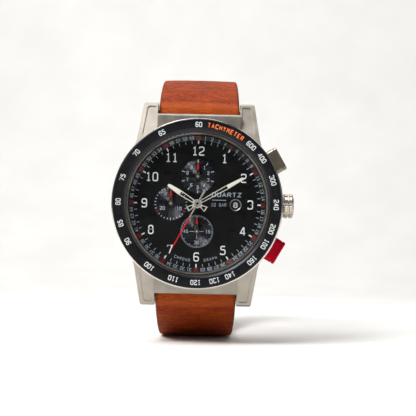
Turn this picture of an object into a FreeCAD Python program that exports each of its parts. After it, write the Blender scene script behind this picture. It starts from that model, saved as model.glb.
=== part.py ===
"""Chronograph wristwatch: a 45 mm quartz chronograph on a two-piece leather strap.

The watch is drawn in the dial frame: X points to 3 o'clock, Y to 12 o'clock and
Z out of the dial, with the outer face of the case back at z = 0. save() turns each
finished shape so that 12 o'clock points up (+Z) and the dial faces -Y.
"""
import FreeCAD, Part
import math
import os

V = FreeCAD.Vector
os.makedirs("parts", exist_ok=True)

# ------------------------------------------------------------------ driving dimensions (mm)
BEZEL_R = 22.5                 # outer radius of the tachymeter bezel
BEZEL_TOP = 11.9
CASE_R = 22.9                  # case flank
CASE_BOTTOM = 0.9
CASE_SHOULDER = 9.2            # flat that carries the bezel
NECK_R = 20.6                  # collar of the case inside the bezel
NECK_TOP = 11.3
BORE_R = 19.0                  # through bore that takes dial and movement
GLASS_R = 18.8
GLASS_BOTTOM, GLASS_TOP = 10.35, 12.2
LIP_R = 18.45                  # lip under the glass
DIAL_BOTTOM, DIAL_TOP = 6.9, 7.3
DIAL_R = 18.9
SUBDIAL_Y = 7.42               # 12 and 6 o'clock counters from the centre
SUBDIAL_X = -7.12              # 9 o'clock counter
SUBDIAL_R = 4.6
SUBDIAL_DEPTH = 0.14
DATE_X, DATE_Y, DATE_R = 10.27, -0.1, 1.32

LUG_GAP = 22.3                 # between the lugs, for a 22 mm strap
LUG_TIP_Y = 27.4
LUG_PANEL_DEPTH = 0.35         # sunk panel on the face of each lug
BAR_Y, BAR_Z = 25.2, 2.8       # spring bar axis
BAR_R, BAR_TIP_R = 0.75, 0.40

STEM_Z = 5.3                   # crown, stem and pushers
CROWN_R = 3.3
CROWN_IN, CROWN_OUT = 23.15, 25.9
CROWN_FLUTES = 8
PUSHER_ANGLE = 30.0            # 2 and 4 o'clock
PUSHER_TRAVEL = 0.9
PUSHER_W, PUSHER_H = 6.6, 3.8
PUSHER_IN, PUSHER_OUT = 22.9, 25.85

PLATE_R = 13.8                 # movement main plate
PLATE_BOTTOM, PLATE_TOP = 4.6, 6.0
BRIDGE_BOTTOM, BRIDGE_TOP = 2.9, 3.2

HOUR_ANGLE = 302.0             # hands at rest, degrees clockwise from 12
MINUTE_ANGLE = 60.0
CHRONO_ANGLE = 208.4
HOUR_Z, MINUTE_Z, CHRONO_Z, COUNTER_Z = 8.15, 8.75, 9.35, 7.60
HAND_T = 0.18

STRAP_W = 22.0                 # at the lugs
BUCKLE_W = 19.8                # at the buckle
STRAP_START = 46.5             # heading below horizontal where the strap leaves the lugs
STRAP_BEND = 40.0              # radius of the worn-in curve
LONG_BEND = 75.0               # lazier curve of the long half past its widest point
SHORT_LEN = 76.0
LONG_LEN = 116.0
STRAP_T0, STRAP_T1, STRAP_T2 = 4.2, 3.0, 2.4
TIP_LEN = 9.0                  # rounded end of the long half
LINING_T = 0.7
LINING_START = 5.0             # the lining begins behind the loop round the spring bar
RUN = 0.05                     # running clearance, radial


# ------------------------------------------------------------------ helpers
def save(name, shape):
    """Turn a shape from the dial frame to the row frame and write its STEP file."""
    solid = shape.copy()
    solid.rotate(V(0, 0, 0), V(1, 0, 0), 90)
    solid.exportStep("parts/%s.step" % name)
    print("%-24s solids %d  volume %8.2f  valid %s"
          % (name, len(solid.Solids), solid.Volume, solid.isValid()))


def cyl(r, z0, z1, x=0.0, y=0.0):
    return Part.makeCylinder(r, z1 - z0, V(x, y, z0))


def ring(r_in, r_out, z0, z1, x=0.0, y=0.0):
    return cyl(r_out, z0, z1, x, y).cut(cyl(r_in, z0 - 1, z1 + 1, x, y))


def rod(r, p0, p1):
    """Round bar between two points."""
    a, b = V(*p0), V(*p1)
    return Part.makeCylinder(r, (b - a).Length, a, b - a)


def box(x0, x1, y0, y1, z0, z1):
    return Part.makeBox(x1 - x0, y1 - y0, z1 - z0, V(x0, y0, z0))


def turned(profile):
    """Solid of revolution about Z from (r, z) points."""
    pts = [V(r, 0, z) for r, z in profile]
    face = Part.Face(Part.makePolygon(pts + pts[:1]))
    return face.revolve(V(0, 0, 0), V(0, 0, 1), 360)


def plate(outline, z0, z1):
    """Flat plate from an (x, y) outline."""
    pts = [V(x, y, z0) for x, y in outline]
    return Part.Face(Part.makePolygon(pts + pts[:1])).extrude(V(0, 0, z1 - z0))


def side_block(outline, x0, x1):
    """Block extruded along X from a (y, z) outline."""
    pts = [V(x0, y, z) for y, z in outline]
    return Part.Face(Part.makePolygon(pts + pts[:1])).extrude(V(x1 - x0, 0, 0))


def clockwise(shape, degrees, x=0.0, y=0.0):
    """Turn a shape clockwise as seen from the front, about an axis along Z."""
    out = shape.copy()
    out.rotate(V(x, y, 0), V(0, 0, 1), -degrees)
    return out


def moved(shape, x=0.0, y=0.0, z=0.0):
    out = shape.copy()
    out.translate(V(x, y, z))
    return out


def gear(teeth, pitch_r, z0, z1, x=0.0, y=0.0):
    """Spur wheel. Tips stop just short of the pitch circle, so meshing wheels clear."""
    tip = pitch_r - 0.02
    root = pitch_r - 2.2 * pitch_r / teeth
    step = 2 * math.pi / teeth
    outline = []
    for i in range(teeth):
        a = i * step
        for r, f in ((root, -0.34), (tip, -0.16), (tip, 0.16), (root, 0.34)):
            outline.append((x + r * math.cos(a + f * step), y + r * math.sin(a + f * step)))
    return plate(outline, z0, z1)


def spoked(wheel, r_in, r_out, z0, z1, spokes=4, width=0.45, x=0.0, y=0.0):
    """Cut windows between a wheel's hub and rim."""
    window = ring(r_in, r_out, z0 - 0.1, z1 + 0.1, x, y)
    for i in range(spokes):
        bar = box(x, x + r_out + 1, y - width / 2, y + width / 2, z0 - 1, z1 + 1)
        window = window.cut(clockwise(bar, i * 360.0 / spokes, x, y))
    return wheel.cut(window)


def spring_coil(radius, half_wire, length, turns):
    """Helical spring of square wire along +Z, from the origin."""
    helix = Part.makeHelix(length / turns, length, radius)
    corners = [V(radius + a * half_wire, 0, b * half_wire)
               for a, b in ((-1, -1), (1, -1), (1, 1), (-1, 1), (-1, -1))]
    return Part.Wire(helix).makePipeShell([Part.makePolygon(corners)], True, True)


def radial(shape, angle):
    """Place a shape built along +Z so that it runs outwards at the stem's height."""
    out = shape.copy()
    out.rotate(V(0, 0, 0), V(0, 1, 0), 90)
    out.translate(V(0, 0, STEM_Z))
    out.rotate(V(0, 0, 0), V(0, 0, 1), angle)
    return out


# ------------------------------------------------------------------ case
def lug_side():
    """Side view of a lug in (y, z): one flat slope from the bezel to the tip."""
    return [(14.0, 1.0), (20.5, 1.0), (23.5, 0.5), (26.2, 0.3), (LUG_TIP_Y, 1.1),
            (LUG_TIP_Y, 4.9), (26.95, 5.8), (15.5, 9.2), (14.0, 9.2)]


def lug():
    """The 2 o'clock-side lug at 12, with its sunk panel."""
    inner = LUG_GAP / 2
    outline = [(inner, 14.0), (inner, LUG_TIP_Y), (14.6, LUG_TIP_Y), (14.95, 27.05),
               (16.45, 17.4), (17.3, 14.0)]
    body = plate(outline, 0, 10).common(side_block(lug_side(), inner - 1, 18))
    panel = [(inner + 0.5, 17.0), (inner + 0.5, 26.1), (inner + 0.8, 26.4),
             (13.55, 26.4), (13.98, 25.95), (15.4, 17.0)]
    floor = side_block([(y, z - LUG_PANEL_DEPTH) for y, z in lug_side()], inner - 1, 18)
    cutter = plate(panel, 4, 10).cut(floor).cut(cyl(CASE_R + 0.9, 0, 12))
    return body.cut(cutter)


def case_middle():
    body = turned([(BORE_R, 1.7), (20.3, 1.7), (20.3, CASE_BOTTOM), (20.9, CASE_BOTTOM),
                   (22.1, 2.6), (CASE_R, 5.0), (CASE_R, 8.7), (22.65, CASE_SHOULDER),
                   (NECK_R, CASE_SHOULDER), (NECK_R, NECK_TOP), (19.3, NECK_TOP),
                   (19.3, GLASS_BOTTOM), (LIP_R, GLASS_BOTTOM), (LIP_R, 9.55), (BORE_R, 9.55)])
    core = cyl(BORE_R, -1, 9.55).fuse(cyl(20.3, -1, 1.7))
    for mirror_x in (False, True):
        for mirror_y in (False, True):
            one = lug()
            if mirror_x:
                one = one.mirror(V(0, 0, 0), V(1, 0, 0))
            if mirror_y:
                one = one.mirror(V(0, 0, 0), V(0, 1, 0))
            body = body.fuse(one)
    half = LUG_GAP / 2
    for sign in (1, -1):
        shoulder = side_block([(15.0, 5.5), (23.2, 5.5), (24.1, 6.3), (24.1, 7.9),
                               (23.6, 8.5), (15.0, 8.9)], -half, half)
        if sign < 0:
            shoulder = shoulder.mirror(V(0, 0, 0), V(0, 1, 0))
        body = body.fuse(shoulder)
        gap = box(-half, half, 22.6, 30, -1, 5.5)
        if sign < 0:
            gap = gap.mirror(V(0, 0, 0), V(0, 1, 0))
        body = body.cut(gap)
        hole = rod(BAR_TIP_R + RUN, (-12.6, sign * BAR_Y, BAR_Z), (12.6, sign * BAR_Y, BAR_Z))
        body = body.cut(hole)
    body = body.cut(core)
    body = body.cut(rod(1.3, (17, 0, STEM_Z), (24, 0, STEM_Z)))
    for angle in (PUSHER_ANGLE, -PUSHER_ANGLE):
        half_w, half_h = PUSHER_W / 2 + 0.12, PUSHER_H / 2 + 0.12
        floor_r = PUSHER_IN - PUSHER_TRAVEL - 0.1
        pocket = Part.makeBox(2 * half_h, 2 * half_w, 6, V(-half_h, -half_w, floor_r))
        body = body.cut(radial(pocket, angle))
        body = body.cut(radial(cyl(1.0, 17, 24), angle))
        body = body.cut(radial(cyl(1.45, 21.0, 24), angle))
    return body.removeSplitter()


def bezel():
    """Black ring over the neck; small bevel outside, slope down to the glass inside."""
    return turned([(NECK_R + 0.03, CASE_SHOULDER), (22.2, CASE_SHOULDER), (BEZEL_R, 9.5),
                   (BEZEL_R, 11.65), (22.25, BEZEL_TOP), (19.85, BEZEL_TOP), (19.34, 11.55),
                   (19.34, NECK_TOP + 0.02), (NECK_R + 0.03, NECK_TOP + 0.02)])


def case_back():
    body = turned([(0, 0.0), (14.6, 0.0), (15.0, 0.3), (19.9, 0.3), (20.2, 0.6), (20.2, 1.65),
                   (BORE_R - RUN, 1.65), (BORE_R - RUN, 2.9), (18.1, 2.9), (18.1, 1.3),
                   (0, 1.3)])
    for i in range(6):
        notch = box(16.6, 18.4, -0.9, 0.9, -0.1, 0.85)
        body = body.cut(clockwise(notch, 30 + 60 * i))
    return body


def flange_ring():
    """Sloped inner ring that carries the minute scale."""
    return turned([(17.15, DIAL_TOP + 0.02), (17.15, 7.48), (18.3, 7.95), (18.4, 9.5),
                   (BORE_R - RUN, 9.5), (BORE_R - RUN, DIAL_TOP + 0.02)])


def dial():
    body = cyl(DIAL_R, DIAL_BOTTOM, DIAL_TOP)
    top = DIAL_TOP - SUBDIAL_DEPTH
    for x, y in ((0, SUBDIAL_Y), (0, -SUBDIAL_Y), (SUBDIAL_X, 0)):
        body = body.cut(cyl(SUBDIAL_R, top, DIAL_TOP + 1, x, y))
        body = body.cut(cyl(0.45, 0, 9, x, y))
    body = body.cut(cyl(0.95, 0, 9))
    body = body.cut(cyl(DATE_R, 0, 9, DATE_X, DATE_Y))
    cone = Part.makeCone(DATE_R - 0.2, DATE_R + 0.45, 0.45, V(DATE_X, DATE_Y, DIAL_TOP - 0.3))
    return body.cut(cone)


# ------------------------------------------------------------------ crown and pushers
def crown():
    """Crown with broad lobes, a groove round its middle and a hollow underside."""
    profile = [(0, CROWN_OUT), (2.7, CROWN_OUT), (3.1, CROWN_OUT - 0.2), (CROWN_R, CROWN_OUT - 0.5),
               (CROWN_R, 24.75), (3.0, 24.65), (3.0, 24.35), (CROWN_R, 24.25),
               (CROWN_R, CROWN_IN + 0.3), (3.0, CROWN_IN), (1.6, CROWN_IN), (1.6, 24.6), (0, 24.6)]
    body = turned(profile)
    flute = cyl(0.36, 20, 30, CROWN_R, 0).fuse(cyl(0.8, 20, 30, CROWN_R + 0.6, 0))
    for i in range(CROWN_FLUTES):
        body = body.cut(clockwise(flute, 4 + i * 360.0 / CROWN_FLUTES))
    return radial(body, 0)


def stem():
    body = cyl(0.72, 11.9, 24.58)
    body = body.fuse(cyl(0.5, 8.6, 11.9))
    square = Part.makeBox(0.8, 0.8, 1.9, V(-0.4, -0.4, 9.6))
    return radial(body.cut(ring(0.55, 2, 12.4, 12.9)).fuse(square), 0)


def sliding_pinion():
    """Clutch pinion on the stem's square, toothed at both ends."""
    body = moved(gear(12, 1.05, 0, 0.5), 0, 0, 9.7)
    body = body.fuse(cyl(0.75, 10.2, 10.6))
    body = body.fuse(moved(gear(12, 1.05, 0, 0.5), 0, 0, 10.6))
    return radial(body.cut(cyl(0.62, 9, 12)), 0)


def pusher(angle):
    """Rectangular cap with a groove two thirds of the way out, on a round stem."""
    half_w, half_h = PUSHER_W / 2, PUSHER_H / 2
    cap = Part.makeBox(PUSHER_H, PUSHER_W, PUSHER_OUT - PUSHER_IN, V(-half_h, -half_w, PUSHER_IN))
    cap = cap.makeFillet(0.85, [e for e in cap.Edges if abs(e.tangentAt(0).z) > 0.9])
    cap = cap.makeChamfer(0.22, [e for e in cap.Edges
                                 if e.BoundBox.ZMin > PUSHER_OUT - 0.01])
    outer = Part.makeBox(PUSHER_H + 2, PUSHER_W + 2, 0.3, V(-half_h - 1, -half_w - 1, 24.75))
    inner = Part.makeBox(PUSHER_H - 0.5, PUSHER_W - 0.5, 0.3,
                         V(-half_h + 0.25, -half_w + 0.25, 24.75))
    cap = cap.cut(outer.cut(inner))
    cap = cap.cut(cyl(1.35, 20, 24.6))
    return radial(cap.fuse(cyl(0.55, 16.6, 24.7)), angle)


def pusher_spring(angle):
    coil = moved(spring_coil(0.95, 0.14, 3.2, 4), 0, 0, 21.2)
    return radial(coil, angle)


# ------------------------------------------------------------------ hands
def tapered(half_widths):
    """Symmetric outline along +Y from (y, half width) pairs, tail first."""
    right = [(w, y) for y, w in half_widths]
    left = [(-w, y) for y, w in reversed(half_widths)]
    return right + left


def central_hand(outline, window, tail_window, z, hub_r, hole_r):
    body = plate(tapered(outline), z, z + HAND_T).fuse(cyl(hub_r, z, z + HAND_T))
    body = body.cut(plate(tapered(window), z - 1, z + 1))
    body = body.cut(plate(tapered(tail_window), z - 1, z + 1))
    body = body.fuse(ring(hole_r, hub_r, z, z + HAND_T))
    return body.cut(cyl(hole_r, z - 1, z + 1))


def hour_hand():
    return clockwise(central_hand(
        [(-2.8, 0.78), (-1.0, 0.40), (1.2, 0.50), (5.6, 0.675), (8.9, 0.46), (9.4, 0.2)],
        [(1.4, 0.26), (5.3, 0.44)], [(-2.5, 0.5), (-1.5, 0.24)],
        HOUR_Z, 1.2, 0.72), HOUR_ANGLE)


def minute_hand():
    return clockwise(central_hand(
        [(-3.0, 0.70), (-1.0, 0.36), (1.0, 0.42), (9.5, 0.56), (13.8, 0.35), (14.2, 0.15)],
        [(1.3, 0.22), (9.2, 0.36)], [(-2.7, 0.44), (-1.5, 0.20)],
        MINUTE_Z, 1.1, 0.42), MINUTE_ANGLE)


def chrono_hand():
    z = CHRONO_Z
    body = plate(tapered([(-4.2, 0.34), (-1.0, 0.22), (4.0, 0.20), (14.1, 0.10)]), z, z + HAND_T)
    body = body.fuse(cyl(0.95, z, z + 0.4))
    return clockwise(body.cut(cyl(0.15, z - 1, z + 1)), CHRONO_ANGLE)


def counter_hand(x, y):
    z = COUNTER_Z
    body = plate([(-0.30, -0.6), (0.30, -0.6), (0.42, 0.9), (0.10, 3.5), (-0.10, 3.5),
                  (-0.42, 0.9)], z, z + HAND_T)
    body = body.fuse(cyl(0.62, z, z + HAND_T))
    slot = plate([(-0.16, 0.95), (0.16, 0.95), (0.06, 2.1), (-0.06, 2.1)], z - 1, z + 1)
    return moved(body.cut(slot).cut(cyl(0.2, z - 1, z + 1)), x, y)


# ------------------------------------------------------------------ movement
THIRD_X, THIRD_Y = 4.2, -4.0
MINUTE_WHEEL_XY = 2.05
BATTERY_X, BATTERY_Y, BATTERY_R = 6.9, 6.9, 3.95
ROTOR_SPOTS = {"time_rotor": (6.5, -8.5), "chrono_rotor": (-6.0, 7.2)}
COIL_ANGLES = (117.0, 298.0, 213.0)             # clockwise from 12
COIL_AT_R = 11.9
SCREW_ANGLES = (75, 165, 190, 270, 345)
SCREW_AT_R = 12.6


def movement_ring():
    body = ring(PLATE_R + 0.05, BORE_R - 0.1, 3.1, DIAL_BOTTOM - 0.05)
    body = body.cut(rod(1.5, (13, 0, STEM_Z), (20, 0, STEM_Z)))
    for angle in (PUSHER_ANGLE, -PUSHER_ANGLE):
        body = body.cut(radial(Part.makeBox(4, 4.4, 8, V(-2, -2.2, 13)), angle))
    return body


def main_plate():
    body = cyl(PLATE_R, PLATE_BOTTOM, PLATE_TOP)
    for x, y in ((0, 0), (0, SUBDIAL_Y), (0, -SUBDIAL_Y), (SUBDIAL_X, 0)):
        body = body.cut(cyl(0.75 if (x, y) == (0, 0) else 0.35, 0, 9, x, y))
    body = body.cut(box(8.2, 12.0, -1.4, 1.4, 4, 7))
    body = body.cut(rod(0.80, (11, 0, STEM_Z), (15, 0, STEM_Z)))
    body = body.cut(cyl(BATTERY_R + 0.15, 0, 5.5, BATTERY_X, BATTERY_Y))
    for x, y in ROTOR_SPOTS.values():
        body = body.cut(cyl(1.0, 0, 5.5, x, y))
    for angle in COIL_ANGLES:
        pocket = moved(box(-3.2, 3.2, -1.3, 1.3, 0, 5.5), 0, COIL_AT_R)
        body = body.cut(clockwise(pocket, angle))
    return body


def train_bridge():
    body = plate([(-11.0, -1.0), (-3.0, -3.2), (-1.6, -12.2), (1.4, -12.2), (2.8, -7.0),
                  (6.2, -4.6), (5.6, -2.4), (2.2, 1.2), (1.2, 11.4), (-1.2, 11.4), (-2.4, 2.4),
                  (-11.0, 1.0)], BRIDGE_BOTTOM, BRIDGE_TOP)
    for x, y in ((-10.35, 0), (0, -11.5), (0, 10.75)):
        body = body.fuse(cyl(0.45, BRIDGE_TOP - 0.05, PLATE_BOTTOM, x, y))
    return body


def circuit_board():
    body = cyl(13.4, 2.45, 2.75)
    body = body.cut(cyl(BATTERY_R + 0.3, 2, 3, BATTERY_X, BATTERY_Y))
    for angle in SCREW_ANGLES:
        body = body.cut(clockwise(cyl(0.36, 2, 3, 0, SCREW_AT_R), angle))
    return body


def battery():
    body = cyl(BATTERY_R, 2.0, 4.7, BATTERY_X, BATTERY_Y)
    rim = ring(BATTERY_R - 0.35, 9, 1.9, 2.25, BATTERY_X, BATTERY_Y)
    return body.cut(rim)


def battery_clamp():
    body = moved(box(-4.9, 4.9, -0.8, 0.8, 1.62, 1.9), BATTERY_X, BATTERY_Y)
    body = clockwise(body, 45, BATTERY_X, BATTERY_Y)
    return body.fuse(cyl(1.3, 1.62, 1.95, BATTERY_X, BATTERY_Y))


def motor_coils():
    wire = rod(1.05, (-2.3, COIL_AT_R, 4.2), (2.3, COIL_AT_R, 4.2))
    coil = wire.fuse(moved(box(-3.0, 3.0, -0.35, 0.35, 4.0, 4.4), 0, COIL_AT_R))
    return Part.makeCompound([clockwise(coil, angle) for angle in COIL_ANGLES])


def motor_stators():
    plates = []
    for (x, y), angle in zip(ROTOR_SPOTS.values(), (20, 215)):
        body = moved(box(-2.6, 2.6, -1.5, 1.5, 3.3, 3.55), x, y).cut(cyl(0.85, 0, 9, x, y))
        plates.append(clockwise(body, angle, x, y))
    return Part.makeCompound(plates)


def rotor(x, y):
    body = cyl(0.62, 3.2, 3.8, x, y).fuse(cyl(0.15, 2.85, 5.4, x, y))
    return body.fuse(gear(8, 0.42, 4.06, 4.3, x, y))


def quartz_can():
    return rod(0.75, (-11.6, -2.3, 3.75), (-10.0, -6.3, 3.75))


def movement_screws():
    y = SCREW_AT_R
    screw = cyl(0.6, 2.15, 2.43, 0, y).fuse(cyl(0.3, 2.43, PLATE_BOTTOM, 0, y))
    screw = screw.cut(box(-0.7, 0.7, y - 0.08, y + 0.08, 2.1, 2.25))
    return Part.makeCompound([clockwise(screw, angle) for angle in SCREW_ANGLES])


def contact_springs():
    """Two flat blades that the pushers press against the movement."""
    blades = []
    for angle in (PUSHER_ANGLE, -PUSHER_ANGLE):
        blade = Part.makeBox(1.0, 3.6, 0.15, V(-0.5, -1.8, 15.2))
        foot = Part.makeBox(1.0, 0.4, 1.32, V(-0.5, -1.8, 13.88))
        blades.append(radial(blade.fuse(foot), angle))
    return Part.makeCompound(blades)


def date_ring():
    body = ring(8.6, 12.2, 6.45, 6.75)
    for i in range(31):
        notch = cyl(0.35, 6, 7, 8.6, 0)
        body = body.cut(clockwise(notch, i * 360.0 / 31))
    return body


def cannon_pinion():
    """Centre wheel, cannon tube and the pinion of the motion works, in one piece."""
    body = cyl(0.42, 4.1, MINUTE_Z).fuse(gear(12, 0.725, 6.05, 6.22))
    body = body.fuse(spoked(gear(64, 5.15, 4.25, 4.4), 1.0, 4.5, 4.25, 4.4))
    return body.cut(cyl(0.20, 3, 10))


def hour_wheel():
    body = cyl(0.68, 6.3, HOUR_Z + HAND_T).fuse(gear(40, 2.32, 6.32, 6.45))
    return body.cut(cyl(0.47, 3, 10))


def minute_wheel():
    x = y = MINUTE_WHEEL_XY
    body = gear(36, 2.175, 6.05, 6.2, x, y).fuse(gear(10, 0.58, 6.2, 6.46, x, y))
    return body.fuse(cyl(0.2, 6.02, 6.7, x, y))


def third_wheel():
    x, y = THIRD_X, THIRD_Y
    body = spoked(gear(60, 4.78, 3.85, 4.0, x, y), 0.9, 4.2, 3.85, 4.0, x=x, y=y)
    body = body.fuse(gear(8, 0.644, 4.0, 4.5, x, y))
    return body.fuse(cyl(0.2, 3.23, 4.57, x, y))


def fourth_wheel():
    x, y = 0, -SUBDIAL_Y
    body = spoked(gear(60, 3.3, 3.45, 3.6, x, y), 0.8, 2.8, 3.45, 3.6, x=x, y=y)
    body = body.fuse(gear(8, 0.638, 3.6, 4.1, x, y))
    return body.fuse(cyl(0.2, 3.23, COUNTER_Z + HAND_T, x, y))


def chrono_wheel():
    body = spoked(gear(60, 3.0, 3.45, 3.6), 0.8, 2.5, 3.45, 3.6)
    return body.fuse(cyl(0.15, 3.23, CHRONO_Z + 0.4))


def counter_wheel(x, y):
    body = spoked(gear(60, 2.6, 3.45, 3.6, x, y), 0.8, 2.1, 3.45, 3.6, x=x, y=y)
    return body.fuse(cyl(0.2, 3.23, COUNTER_Z + HAND_T, x, y))


# ------------------------------------------------------------------ strap
def strap_point(s, long_half):
    """Point (y, z) and heading (degrees below horizontal) at arc length s."""
    first = math.radians(90 - STRAP_START) * STRAP_BEND
    a = math.radians(STRAP_START)
    if not long_half or s <= first:
        b = a + s / STRAP_BEND
        y = BAR_Y + STRAP_BEND * (math.sin(b) - math.sin(a))
        z = BAR_Z - STRAP_BEND * (math.cos(a) - math.cos(b))
        return y, z, b
    widest_y = BAR_Y + STRAP_BEND * (1 - math.sin(a))
    widest_z = BAR_Z - STRAP_BEND * math.cos(a)
    b = math.pi / 2 + (s - first) / LONG_BEND
    y = widest_y + LONG_BEND * (math.sin(b) - 1)
    return y, widest_z + LONG_BEND * math.cos(b), b


def strap_width(s, length, pointed):
    w = STRAP_W - (STRAP_W - BUCKLE_W) * min(1.0, s / 45.0)
    left = length - s
    if pointed and left < TIP_LEN:
        w = max(w * math.sqrt(max(0.0, 1 - (1 - left / TIP_LEN) ** 2)), 4.0)
    return w


def strap_thickness(s):
    if s < 12:
        return STRAP_T0 + (STRAP_T1 - STRAP_T0) * s / 12
    return STRAP_T1 + (STRAP_T2 - STRAP_T1) * min(1.0, (s - 12) / 30)


def strap_section(s, length, long_half, low, high, inset=0.0):
    """Rectangle across the strap; low and high are offsets along the outward normal."""
    y, z, b = strap_point(s, long_half)
    ny, nz = math.sin(b), math.cos(b)
    half = strap_width(s, length, long_half) / 2 - inset
    corners = []
    for x, n in ((-half, low), (half, low), (half, high), (-half, high)):
        corners.append(V(x, y + n * ny, z + n * nz))
    return Part.makePolygon(corners + corners[:1])


def strap_stations(length, long_half):
    """Arc lengths of the sections, shared by leather and lining so that they meet flat."""
    steps = 28 if long_half else 18
    body_end = length - TIP_LEN
    run = [LINING_START + (body_end - LINING_START) * i / steps for i in range(steps + 1)]
    return run + [length - TIP_LEN * (1 - f) for f in (0.35, 0.6, 0.8, 0.93, 1.0)]


def strap_leather(length, long_half):
    sections = []
    for s in (0.0, LINING_START - 0.1):
        t = strap_thickness(s) / 2
        sections.append(strap_section(s, length, long_half, -t, t))
    for s in strap_stations(length, long_half):
        t = strap_thickness(s) / 2
        sections.append(strap_section(s, length, long_half, -t + LINING_T + 0.01, t))
    return Part.makeLoft(sections, True, True)


def strap_lining(length, long_half, end):
    sections = []
    for s in strap_stations(length, long_half):
        if s <= end:
            t = strap_thickness(s) / 2
            sections.append(strap_section(s, length, long_half, -t, -t + LINING_T, 0.05))
    return Part.makeLoft(sections, True, True)


def strap_local(shape, s, long_half):
    """Carry a shape built with +Y along the strap and +Z outwards to arc length s."""
    y, z, b = strap_point(s, long_half)
    out = shape.copy()
    out.rotate(V(0, 0, 0), V(1, 0, 0), -math.degrees(b))
    out.translate(V(0, y, z))
    return out


def below(shape):
    """Mirror the 12 o'clock side to the 6 o'clock side."""
    return shape.mirror(V(0, 0, 0), V(0, 1, 0))


def short_strap():
    body = strap_leather(SHORT_LEN, False)
    r0 = STRAP_T0 / 2
    body = body.fuse(rod(r0, (-STRAP_W / 2, BAR_Y, BAR_Z), (STRAP_W / 2, BAR_Y, BAR_Z)))
    y, z, _ = strap_point(SHORT_LEN, False)
    half = BUCKLE_W / 2
    body = body.fuse(rod(1.55, (-half, y, z), (half, y, z)))
    body = body.cut(rod(BAR_R + RUN, (-20, BAR_Y, BAR_Z), (20, BAR_Y, BAR_Z)))
    body = body.cut(rod(0.70 + RUN, (-20, y, z), (20, y, z)))
    slot = strap_local(box(-1.7, 1.7, -6.0, 5, -5, 5), SHORT_LEN, False)
    return body.cut(slot)


def short_lining():
    return strap_lining(SHORT_LEN, False, SHORT_LEN - TIP_LEN + 0.01)


def long_strap():
    body = strap_leather(LONG_LEN, True)
    r0 = STRAP_T0 / 2
    body = body.fuse(rod(r0, (-STRAP_W / 2, BAR_Y, BAR_Z), (STRAP_W / 2, BAR_Y, BAR_Z)))
    body = body.cut(rod(BAR_R + RUN, (-20, BAR_Y, BAR_Z), (20, BAR_Y, BAR_Z)))
    return below(body.cut(strap_holes()))


def strap_holes():
    holes = []
    for i in range(7):
        holes.append(strap_local(cyl(0.95, -5, 5), LONG_LEN - 24 - 6.3 * i, True))
    return Part.makeCompound(holes)


def long_lining():
    body = strap_lining(LONG_LEN, True, LONG_LEN)
    return below(body.cut(strap_holes()))


def keeper(s, width, gap):
    """Leather loop round the short half, its walls following the strap's curve."""
    half_w = strap_width(s, SHORT_LEN, False) / 2
    span = width / STRAP_BEND / 2
    y0 = BAR_Y - STRAP_BEND * math.sin(math.radians(STRAP_START))
    z0 = BAR_Z - STRAP_BEND * math.cos(math.radians(STRAP_START))
    room = 2.6                                      # space for the long half to pass through
    t = strap_thickness(s) / 2
    r_in, r_out = STRAP_BEND - t - gap, STRAP_BEND + t + gap + room
    wall = 1.1
    centre, _, b = y0, z0, math.radians(STRAP_START) + s / STRAP_BEND

    def sector(r0, r1, half):
        outer = Part.makeCylinder(r1, 2 * half, V(-half, centre, z0), V(1, 0, 0))
        inner = Part.makeCylinder(r0, 2 * half, V(-half, centre, z0), V(1, 0, 0))
        shell = outer.cut(inner)
        wedge = []
        for side in (-1, 1):
            a = b + side * span
            wedge.append((centre + 80 * math.sin(a), z0 + 80 * math.cos(a)))
        return shell.common(side_block([(centre, z0)] + wedge, -half, half))

    outer = sector(r_in - wall, r_out + wall, half_w + gap + wall)
    inner = sector(r_in, r_out, half_w + gap)
    return outer.cut(inner)


# ------------------------------------------------------------------ buckle
def buckle_frame():
    """Rounded frame whose legs carry the buckle bar."""
    leg_in, leg_out = BUCKLE_W / 2 + 0.2, BUCKLE_W / 2 + 2.2
    outer = box(-leg_out, leg_out, -1.7, 11.2, -1.25, 1.25)
    corners = [e for e in outer.Edges
               if abs(e.tangentAt(0).z) > 0.9 and e.BoundBox.YMin > 10]
    outer = outer.makeFillet(2.2, corners)
    inner = box(-leg_in, leg_in, -3, 8.9, -3, 3)
    body = outer.cut(inner)
    edges = [e for e in body.Edges if e.Length > 2.0 and abs(e.tangentAt(0).z) < 0.5
             and e.BoundBox.YMax > 0]
    try:
        body = body.makeFillet(0.5, edges)
    except Part.OCCError:
        print("buckle_frame keeps square edges")
    body = body.cut(rod(0.60, (-12.5, 0, 0), (12.5, 0, 0)).cut(rod(2, (-9, 0, 0), (9, 0, 0))))
    notch = box(-1.3, 1.3, 8.8, 11.4, 0.95, 2)
    return strap_local(body.cut(notch), SHORT_LEN, False)


def buckle_bar():
    body = rod(0.70, (-BUCKLE_W / 2 - 0.1, 0, 0), (BUCKLE_W / 2 + 0.1, 0, 0))
    body = body.fuse(rod(0.55, (-11.4, 0, 0), (11.4, 0, 0)))
    return strap_local(body, SHORT_LEN, False)


def buckle_tang():
    """Pin of the buckle: a ring on the bar and an arm that rests on the frame's nose."""
    eye = rod(1.35, (-1.1, 0, 0), (1.1, 0, 0)).cut(rod(0.75, (-2, 0, 0), (2, 0, 0)))
    arm = side_block([(0.9, 0.35), (1.1, -0.3), (4.0, 0.2), (8.6, 1.02), (11.5, 1.05), (11.5, 1.75),
                      (8.2, 1.95), (3.8, 1.3), (0.6, 1.2)], -0.85, 0.85)
    body = eye.fuse(arm.cut(rod(0.75, (-2, 0, 0), (2, 0, 0))))
    return strap_local(body, SHORT_LEN, False)


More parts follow.
